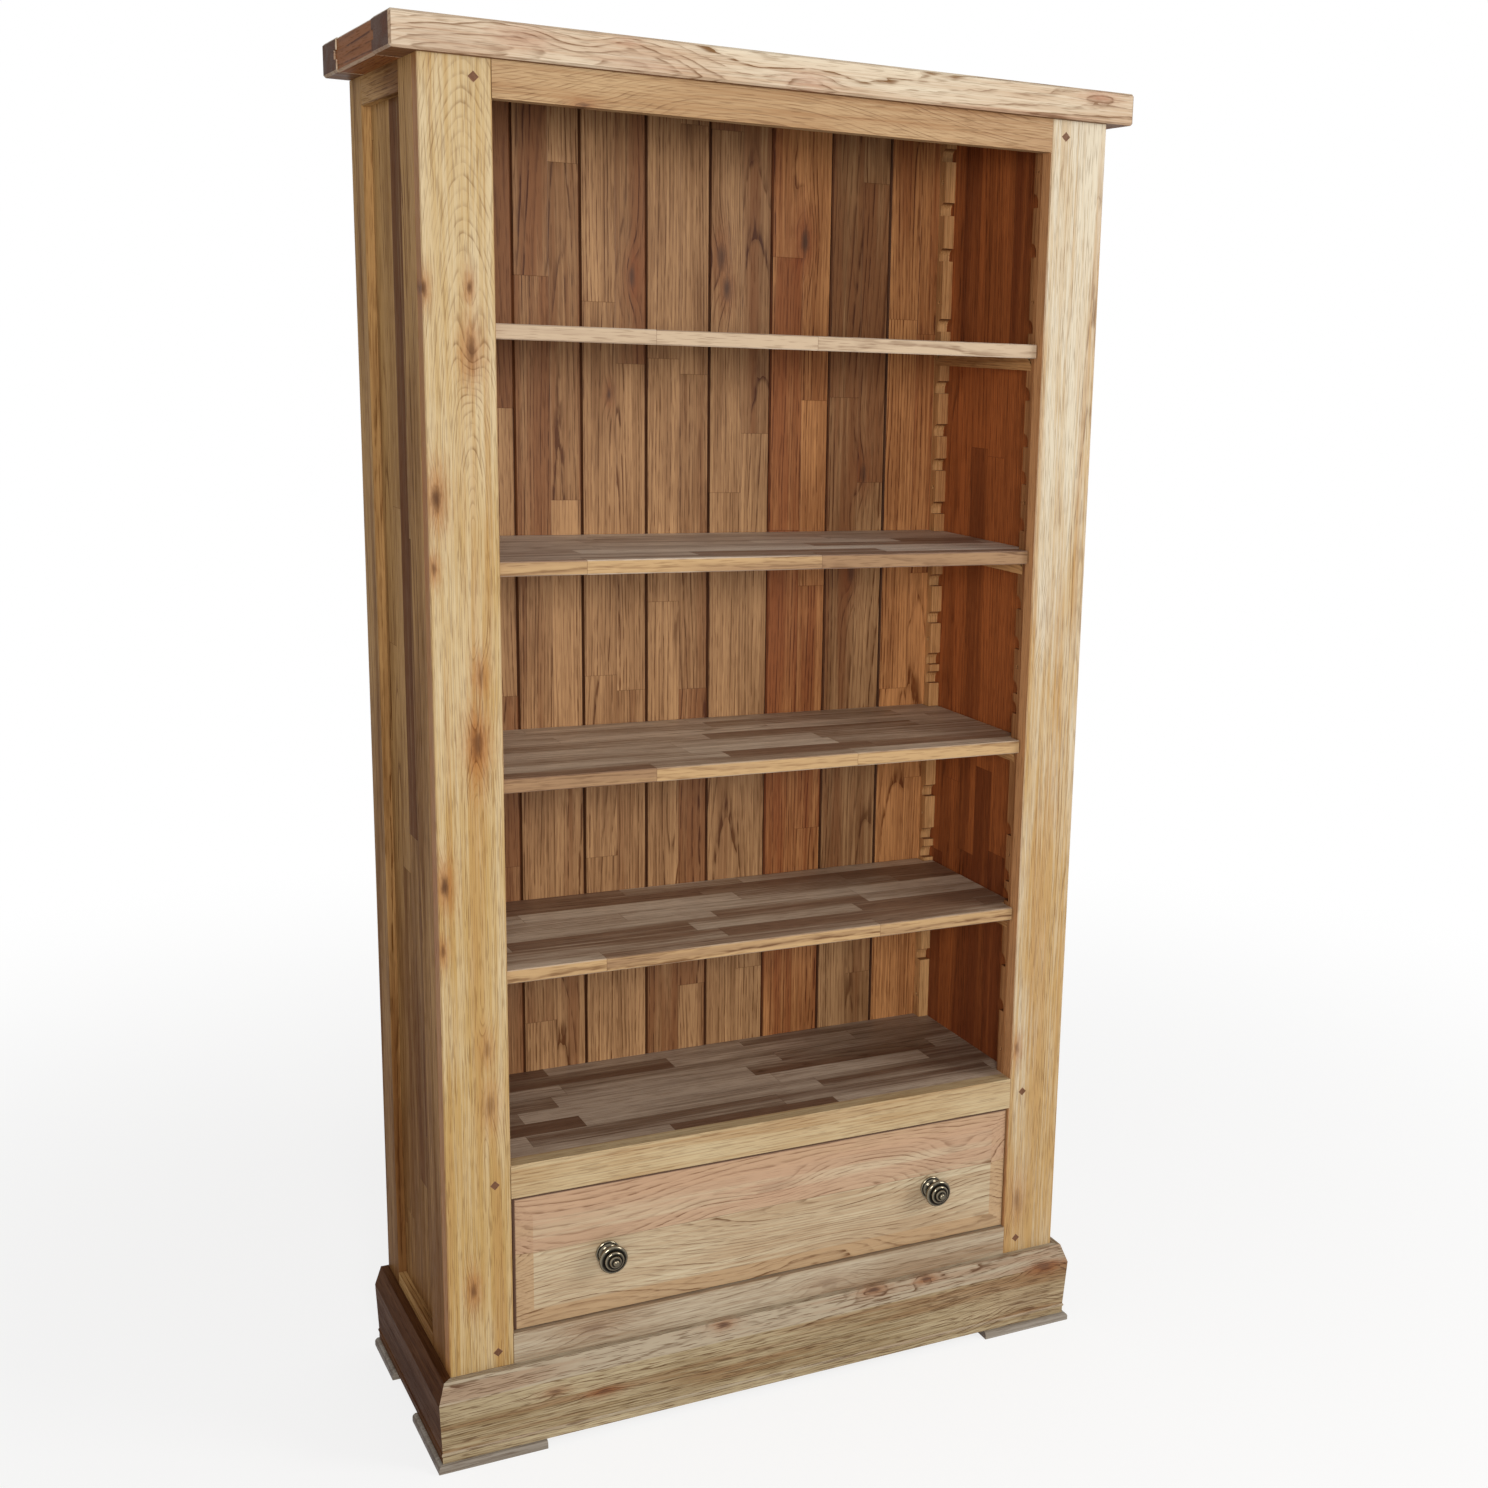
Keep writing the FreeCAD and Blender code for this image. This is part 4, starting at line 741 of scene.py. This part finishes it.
STILE_PITHS = {"left_front_stile": (0.15, 0.011, -0.04), "right_front_stile": (0.01, 0.04, 0.04)}
# The share of the left stile's height above which its pith line leans and its arches stand.
ARCHES_START = 0.70


def dress_front_frame():
    """Stiles upright, rails level, and the ends of the pegs to the front."""
    stiles = ((1, STILE, "left_front_stile", ARCHES_START), (2, SHEEN_STILE, "right_front_stile", None))
    for seed, wood, node, hinge in stiles:
        wax(node, wood, "Z", "X", seed=seed, knots=FRAME_KNOTS[node], pith=STILE_PITHS[node], hinge=hinge)
    rails = ((3, SHADED_RAIL, "top_front_rail"), (4, HONEY, "deck_front_rail"), (5, LOW_RAIL, "bottom_front_rail"))
    for seed, wood, node in rails:
        wax(node, wood, "X", "Z", seed=seed, knots=FRAME_KNOTS.get(node, ()))
    wax("front_pegs", PEG, "Y", "X", seed=6)


dress_front_frame()
print("front frame dressed")

# %% [markdown]
# Each side is a frame of posts and rails with a recessed panel outside and flat boards inside. Panel and
# inner boards are glued up from narrow upright staves. A stave is given as its width and length in metres.

# %% The two sides
SIDE_STAVES = (0.045, 0.9)
LINING_STAVES = (0.052, 0.75)


def dress_side(hand, inner, seed):
    """Posts and panels upright, rails from front to back."""
    side = f"{hand}_side"
    wax(f"{side}_front_post", SIDE, "Z", "Y", seed=seed)
    wax(f"{side}_rear_post", SIDE, "Z", "Y", seed=seed + 1)
    wax(f"{side}_top_rail", SIDE, "Y", "Z", seed=seed + 2)
    wax(f"{side}_bottom_rail", SIDE, "Y", "Z", seed=seed + 3)
    wax(f"{side}_panel", SIDE, "Z", "Y", seed=seed + 4, staves=SIDE_STAVES)
    wax(f"{side}_lining", inner, "Z", "Y", seed=seed + 5, staves=LINING_STAVES)


dress_side("left", CALM_LINING, seed=10)
dress_side("right", LINING, seed=20)
print("sides dressed")

# %% [markdown]
# Each back board is two staves wide, and its bevelled edges lie in shade, which its kind shows as a dark
# lip. The top is framed: long boards in front and behind, end boards across them, and a panel between, glued
# up from wider staves. Its faces at both ends and underneath are painted dark brown as painted shade.

# %% The back boards and the top
BACK_BOARDS = 10
BACK_SEED = 30
STAVES_ACROSS = 2
BACK_STAVE_LENGTH = 0.42
RED_BOARDS = (7, 9, 10)
BACK_KNOTS = {
    4: ((0.866, 0.74, 0.008, 0.8), (0.770, 0.40, 0.005, 0.9)),
    6: ((0.886, 0.17, 0.010, 0.8), (0.860, 0.26, 0.009, 0.9)),
    7: ((0.903, 0.52, 0.010, 0.9),),
    8: ((0.616, 0.43, 0.009, 0.7), (0.705, 0.60, 0.009, 0.7)),
}
TOP_KNOTS = ((0.06, 0.32, 0.024, 0.12), (0.150, 0.64, 0.010, 0.35), (0.280, 0.80, 0.005, 0.5),
             (0.29, 0.35, 0.016, 0.15), (0.514, 0.29, 0.008, 0.4), (0.945, 0.80, 0.006, 0.8))
TOP_STAVES = (0.09, 0.6)
TOP_PITH = (0.015, 0.03, 0.04)


def dress_back():
    """Upright boards on two level rails."""
    for number in range(1, BACK_BOARDS + 1):
        node = f"back_board_{number}"
        low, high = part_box(node)
        wood = RED_BACK if number in RED_BOARDS else BACK
        wax(node, wood, "Z", "X", seed=BACK_SEED + number, knots=BACK_KNOTS.get(number, ()),
            staves=((high.x - low.x) / STAVES_ACROSS, BACK_STAVE_LENGTH))
    wax("rear_top_rail", PINE, "X", "Z", seed=41)
    wax("rear_bottom_rail", PINE, "X", "Z", seed=42)


def dress_top():
    """Long boards level, end boards from front to back."""
    wax("top_front_board", TOP, "X", "Z", seed=50, knots=TOP_KNOTS, pith=TOP_PITH)
    wax("top_rear_board", TOP, "X", "Z", seed=51, pith=TOP_PITH)
    wax("top_left_end_board", CAP, "Y", "X", seed=52)
    wax("top_right_end_board", CAP, "Y", "X", seed=53)
    wax("top_middle_panel", TOP, "X", "Y", seed=54, staves=TOP_STAVES)


dress_back()
dress_top()
print("back and top dressed")

# %% [markdown]
# Shelves and deck are glued up from many short staves of different tones. Each shelf's front edge is
# painted a colour of its own as painted light, paler on the first, and the top of the second is painted
# grey as a painted sheen. The notched strips and the rests in them are plain, without staves.

# %% The shelves, the deck and the notched strips
SHELF_STAVES = (0.043, 0.34)
SHELF_SEED = 59


def dress_inside():
    """Shelves and deck level, strips upright, rests, bearers and runners from front to back."""
    for number, wood in enumerate((LIT_EDGE_SHELF, SHEEN_SHELF, SHELF, SHELF), start=1):
        wax(f"shelf_{number}", wood, "X", "Y", seed=SHELF_SEED + number, staves=SHELF_STAVES)
    wax("deck", DECK, "X", "Y", seed=64, staves=SHELF_STAVES)
    for hand, seed in (("left", 66), ("right", 68)):
        wax(f"{hand}_front_strip", CALM_LINING, "Z", "X", seed=seed)
        wax(f"{hand}_rear_strip", EDGE, "Z", "X", seed=seed + 1)
    wax("shelf_rests", EDGE, "Y", "X", seed=70)
    wax("deck_bearers", PINE, "Y", "X", seed=71)
    wax("drawer_runners", PINE, "Y", "X", seed=72)


dress_inside()
print("inside dressed")

# %% [markdown]
# The plinth's boards run along the front and both sides, with moulded plates below them for feet. The
# drawer front is glued up from two boards, the upper one pinker, so its staves are wide and far longer than
# it is: only the one joint along it shows. The box behind it is plain pine.

# %% The plinth, the feet and the drawer
PLINTH_KNOTS = ((0.657, 0.96, 0.006, 0.9), (0.747, 0.95, 0.005, 0.8), (0.414, 0.95, 0.005, 0.8),
                (0.232, 0.45, 0.006, 0.6), (0.160, 0.61, 0.005, 0.6), (0.925, 0.32, 0.020, 0.2),
                (0.957, 0.77, 0.008, 0.7))
DRAWER_KNOTS = ((0.10, 0.38, 0.050, 0.0), (0.50, 0.73, 0.014, 0.2), (0.60, 0.16, 0.022, 0.0),
                (0.95, 0.42, 0.030, 0.0), (0.88, 0.75, 0.012, 0.12))
DRAWER_JOINT = 0.575
DRAWER_STAVES = (0.2, 50.0)
DRAWER_PITH = (0.05, -0.03, 0.02)


def dress_plinth():
    """Moulded boards with the grain along them."""
    wax("plinth_front", SHEEN_PLINTH, "X", "Z", seed=80, knots=PLINTH_KNOTS)
    wax("plinth_left", SHADED_PLINTH, "Y", "Z", seed=81)
    wax("plinth_right", PLINTH, "Y", "Z", seed=82)
    wax("front_feet", FOOT, "X", "Y", seed=83)
    wax("rear_feet", FOOT, "X", "Y", seed=84)


def dress_drawer():
    """The drawer front in oak and its box in pine."""
    wax("drawer_front", DRAWER, "X", "Z", seed=90, staves=DRAWER_STAVES, start=DRAWER_JOINT,
        knots=DRAWER_KNOTS, pith=DRAWER_PITH, pink_above=DRAWER_JOINT)
    wax("drawer_left_side", PINE, "Y", "Z", seed=91)
    wax("drawer_right_side", PINE, "Y", "Z", seed=92)
    wax("drawer_back", PINE, "X", "Z", seed=93)
    wax("drawer_bottom", PINE, "X", "Y", seed=94)


dress_plinth()
dress_drawer()
print("plinth and drawer dressed")

# %% [markdown]
# The knobs are antique brass: cast, turned and then darkened, with the ridges rubbed bright by hands. In
# nodes that is one metal whose colour goes from a dark patina in the hollows to bare brass on the ridges.
# The Geometry node's Pointiness tells hollows from ridges on a dense mesh.

# %% Metals
# How many specks a metre holds, how far they move the rubbing, and how much rougher they make the metal.
SPECKS = (420, 420, 420)
SPECK_RUBS, SPECK_ROUGHNESS = 0.03, 0.16
# The pointiness at which a ridge starts to be rubbed, and at which it is bare.
RUBBED = (0.475, 0.61)


def metal(name, hollow, ridge, rough):
    """A metal that is dark in its hollows and rubbed on its ridges."""
    material = bpy.data.materials.new(name)
    material.use_nodes = True
    tree = material.node_tree
    shader = tree.nodes["Principled BSDF"]
    point = tree.nodes.new("ShaderNodeNewGeometry").outputs["Pointiness"]
    place = tree.nodes.new("ShaderNodeTexCoord").outputs["Object"]
    specks = cloud(tree, place, SPECKS, detail=2).outputs[0]
    worn = calc(tree, "MULTIPLY_ADD", calc(tree, "SUBTRACT", specks, HALF), SPECK_RUBS, point)
    feed(tree, shader.inputs["Base Color"], blend(tree, rise(tree, worn, *RUBBED), hollow, ridge))
    feed(tree, shader.inputs["Roughness"], calc(tree, "MULTIPLY_ADD", specks, SPECK_ROUGHNESS, rough))
    shader.inputs["Metallic"].default_value = 1
    return material


BRASS = metal("antique brass", hollow=hue(28, 26, 23), ridge=hue(180, 168, 144), rough=0.06)
STEEL = metal("screw steel", hollow=hue(34, 32, 30), ridge=hue(112, 108, 102), rough=0.30)
dress("knob_screws", STEEL)
dress("strip_screws", STEEL)
print("metals made")

# %% [markdown]
# A turned knob is the classic job for a lathe. Here it is built the way a turner reads it, from the foot
# to the nipple: a disc is extruded forward step by step, and each new ring is scaled to the radius that
# the profile has there. Spinning a drawn profile would also work, but the rings made this way are evenly
# divided and close at both ends.

# %% The two turned knobs
KNOB_SIDES = 48
# Points closer than this share of the radius are merged, and edges flatter than this angle are smoothed.
MERGE_SHARE = 0.001
SMOOTH_DEGREES = 40
# Each step is a share of the knob's reach and the radius there as a share of its widest.
KNOB_STEPS = (
    (0.00, 0.84), (0.02, 0.85), (0.06, 0.85), (0.08, 0.82), (0.09, 0.74), (0.11, 0.72), (0.14, 0.69),
    (0.17, 0.60), (0.20, 0.48), (0.25, 0.41), (0.32, 0.38), (0.38, 0.39), (0.42, 0.46), (0.455, 0.60),
    (0.49, 0.76), (0.52, 0.87), (0.55, 0.94), (0.58, 0.985), (0.61, 1.00), (0.64, 0.995), (0.67, 0.96),
    (0.69, 0.90), (0.70, 0.83), (0.705, 0.70), (0.725, 0.69), (0.76, 0.675), (0.79, 0.64), (0.805, 0.57),
    (0.81, 0.45), (0.825, 0.435), (0.86, 0.42), (0.885, 0.38), (0.89, 0.26), (0.90, 0.23), (0.93, 0.225),
    (0.965, 0.20), (0.985, 0.15), (1.00, 0.08))


def turn_knob(name, centre, radius, reach):
    """One knob, turned from its foot on the drawer front to its nipple."""
    bpy.ops.object.select_all(action="DESELECT")
    to_front = (math.radians(90), 0, 0)
    bpy.ops.mesh.primitive_circle_add(vertices=KNOB_SIDES, radius=radius * KNOB_STEPS[0][1],
                                      fill_type="NGON", location=centre, rotation=to_front)
    knob = bpy.context.object
    knob.name = name
    bpy.ops.object.mode_set(mode="EDIT")
    bpy.ops.mesh.select_all(action="SELECT")
    for (step, wide), (next_step, next_wide) in zip(KNOB_STEPS, KNOB_STEPS[1:]):
        forward = (next_step - step) * reach
        bpy.ops.mesh.extrude_region_move(TRANSFORM_OT_translate={"value": (0, -forward, 0)})
        growth = next_wide / wide
        middle = (centre[0], centre[1] - next_step * reach, centre[2])
        bpy.ops.transform.resize(value=(growth, 1, growth), center_override=middle)
    bpy.ops.mesh.select_all(action="SELECT")
    bpy.ops.mesh.remove_doubles(threshold=radius * MERGE_SHARE)
    bpy.ops.mesh.normals_make_consistent(inside=False)
    bpy.ops.object.mode_set(mode="OBJECT")
    bpy.ops.object.transform_apply(location=True, rotation=True, scale=True)
    bpy.ops.object.shade_smooth_by_angle(angle=math.radians(SMOOTH_DEGREES))
    return knob


def turn_knobs():
    """Both knobs, each where its solid stands."""
    low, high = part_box("drawer_knobs")
    radius = (high.z - low.z) / 2
    knobs = []
    for name, across in (("left_knob", low.x + radius), ("right_knob", high.x - radius)):
        knob = turn_knob(name, (across, high.y, (low.z + high.z) / 2), radius, high.y - low.y)
        knob.data.materials.append(BRASS)
        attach(knob, "drawer")
        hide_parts("drawer_knobs")
        knobs.append(knob)
    return knobs


knobs = turn_knobs()
print("knobs", [(knob.name, len(knob.data.polygons)) for knob in knobs])

# %% [markdown]
# A white sweep makes the picture. The floor and the world are white to the camera and in everything that
# mirrors them, while the light that they give stays soft, so that the floor still takes the shadow of the
# feet. Two large lamps stand in front of the case: one to its right, which leaves the left side in shade,
# and one near the camera, which reaches into the bays.

# %% Floor, world and lamps
WHITE = (1, 1, 1, 1)
FLOOR_SIZE = 40
FLOOR_COLOUR = (0.9, 0.9, 0.9, 1)
FLOOR_ROUGHNESS = 0.9
# How white the floor is near the bookcase, and from where to where it goes over into the white behind.
FLOOR_GLOW_NEAR = 0.78
FLOOR_GLOW_REACH = (0.9, 3.2)
WORLD_COLOUR = (1.0, 0.99, 0.97, 1)
WORLD_LIGHT = 0.42
LAMP_AIM = (0.0, 0.0, 1.1)
LAMP_COLOUR = (1.0, 0.975, 0.94)
# Each lamp is a place, a size in metres and a strength in watts.
KEY_LAMP = ((2.9, -2.7, 2.2), 1.6, 68)
FILL_LAMP = ((-1.2, -3.7, 1.9), 1.2, 80)


def seen_or_mirrored(tree):
    """1 for what the camera sees, straight on, in a mirror or through glass, and 0 for what only lights."""
    path = tree.nodes.new("ShaderNodeLightPath").outputs
    straight = calc(tree, "MAXIMUM", path["Is Camera Ray"], path["Is Glossy Ray"])
    return calc(tree, "MAXIMUM", straight, path["Is Transmission Ray"])


def lay_floor():
    """A pale floor that stays white to the camera and keeps the shadow."""
    bpy.ops.object.select_all(action="DESELECT")
    bpy.ops.mesh.primitive_plane_add(size=FLOOR_SIZE, location=(0, 0, 0))
    floor = bpy.context.object
    floor.name = "floor"
    material = bpy.data.materials.new("white floor")
    material.use_nodes = True
    tree = material.node_tree
    shader = tree.nodes["Principled BSDF"]
    shader.inputs["Base Color"].default_value = FLOOR_COLOUR
    shader.inputs["Roughness"].default_value = FLOOR_ROUGHNESS
    glow = tree.nodes.new("ShaderNodeEmission")
    mix = tree.nodes.new("ShaderNodeMixShader")
    away = vector_calc(tree, "LENGTH", tree.nodes.new("ShaderNodeTexCoord").outputs["Object"])
    far = rise(tree, away, *FLOOR_GLOW_REACH)
    share = calc(tree, "MULTIPLY_ADD", far, 1 - FLOOR_GLOW_NEAR, FLOOR_GLOW_NEAR)
    feed(tree, mix.inputs[0], calc(tree, "MULTIPLY", seen_or_mirrored(tree), share))
    feed(tree, mix.inputs[1], shader.outputs[0])
    feed(tree, mix.inputs[2], glow.outputs[0])
    feed(tree, tree.nodes["Material Output"].inputs["Surface"], mix.outputs[0])
    floor.data.materials.append(material)


def light_world():
    """White behind the object and in what mirrors it, and soft light from all round."""
    world = bpy.context.scene.world or bpy.data.worlds.new("world")
    bpy.context.scene.world = world
    world.use_nodes = True
    tree = world.node_tree
    tree.nodes.clear()
    soft = tree.nodes.new("ShaderNodeBackground")
    soft.inputs["Color"].default_value = WORLD_COLOUR
    soft.inputs["Strength"].default_value = WORLD_LIGHT
    white = tree.nodes.new("ShaderNodeBackground")
    white.inputs["Color"].default_value = WHITE
    mix = tree.nodes.new("ShaderNodeMixShader")
    feed(tree, mix.inputs[0], seen_or_mirrored(tree))
    feed(tree, mix.inputs[1], soft.outputs[0])
    feed(tree, mix.inputs[2], white.outputs[0])
    output = tree.nodes.new("ShaderNodeOutputWorld")
    feed(tree, output.inputs["Surface"], mix.outputs[0])


def hang_lamp(place, size, watts):
    """One large soft lamp that looks at the case."""
    aim = Vector(LAMP_AIM) - Vector(place)
    bpy.ops.object.light_add(type="AREA", location=place, rotation=aim.to_track_quat("-Z", "Y").to_euler())
    lamp = bpy.context.object
    lamp.data.shape = "DISK"
    lamp.data.size = size
    lamp.data.energy = watts
    lamp.data.color = LAMP_COLOUR
    return lamp


lay_floor()
light_world()
lamps = [hang_lamp(*lamp) for lamp in (KEY_LAMP, FILL_LAMP)]
bpy.context.scene.view_settings.view_transform = "Standard"
print("lamps", [(round(lamp.location.x, 2), lamp.data.energy) for lamp in lamps])
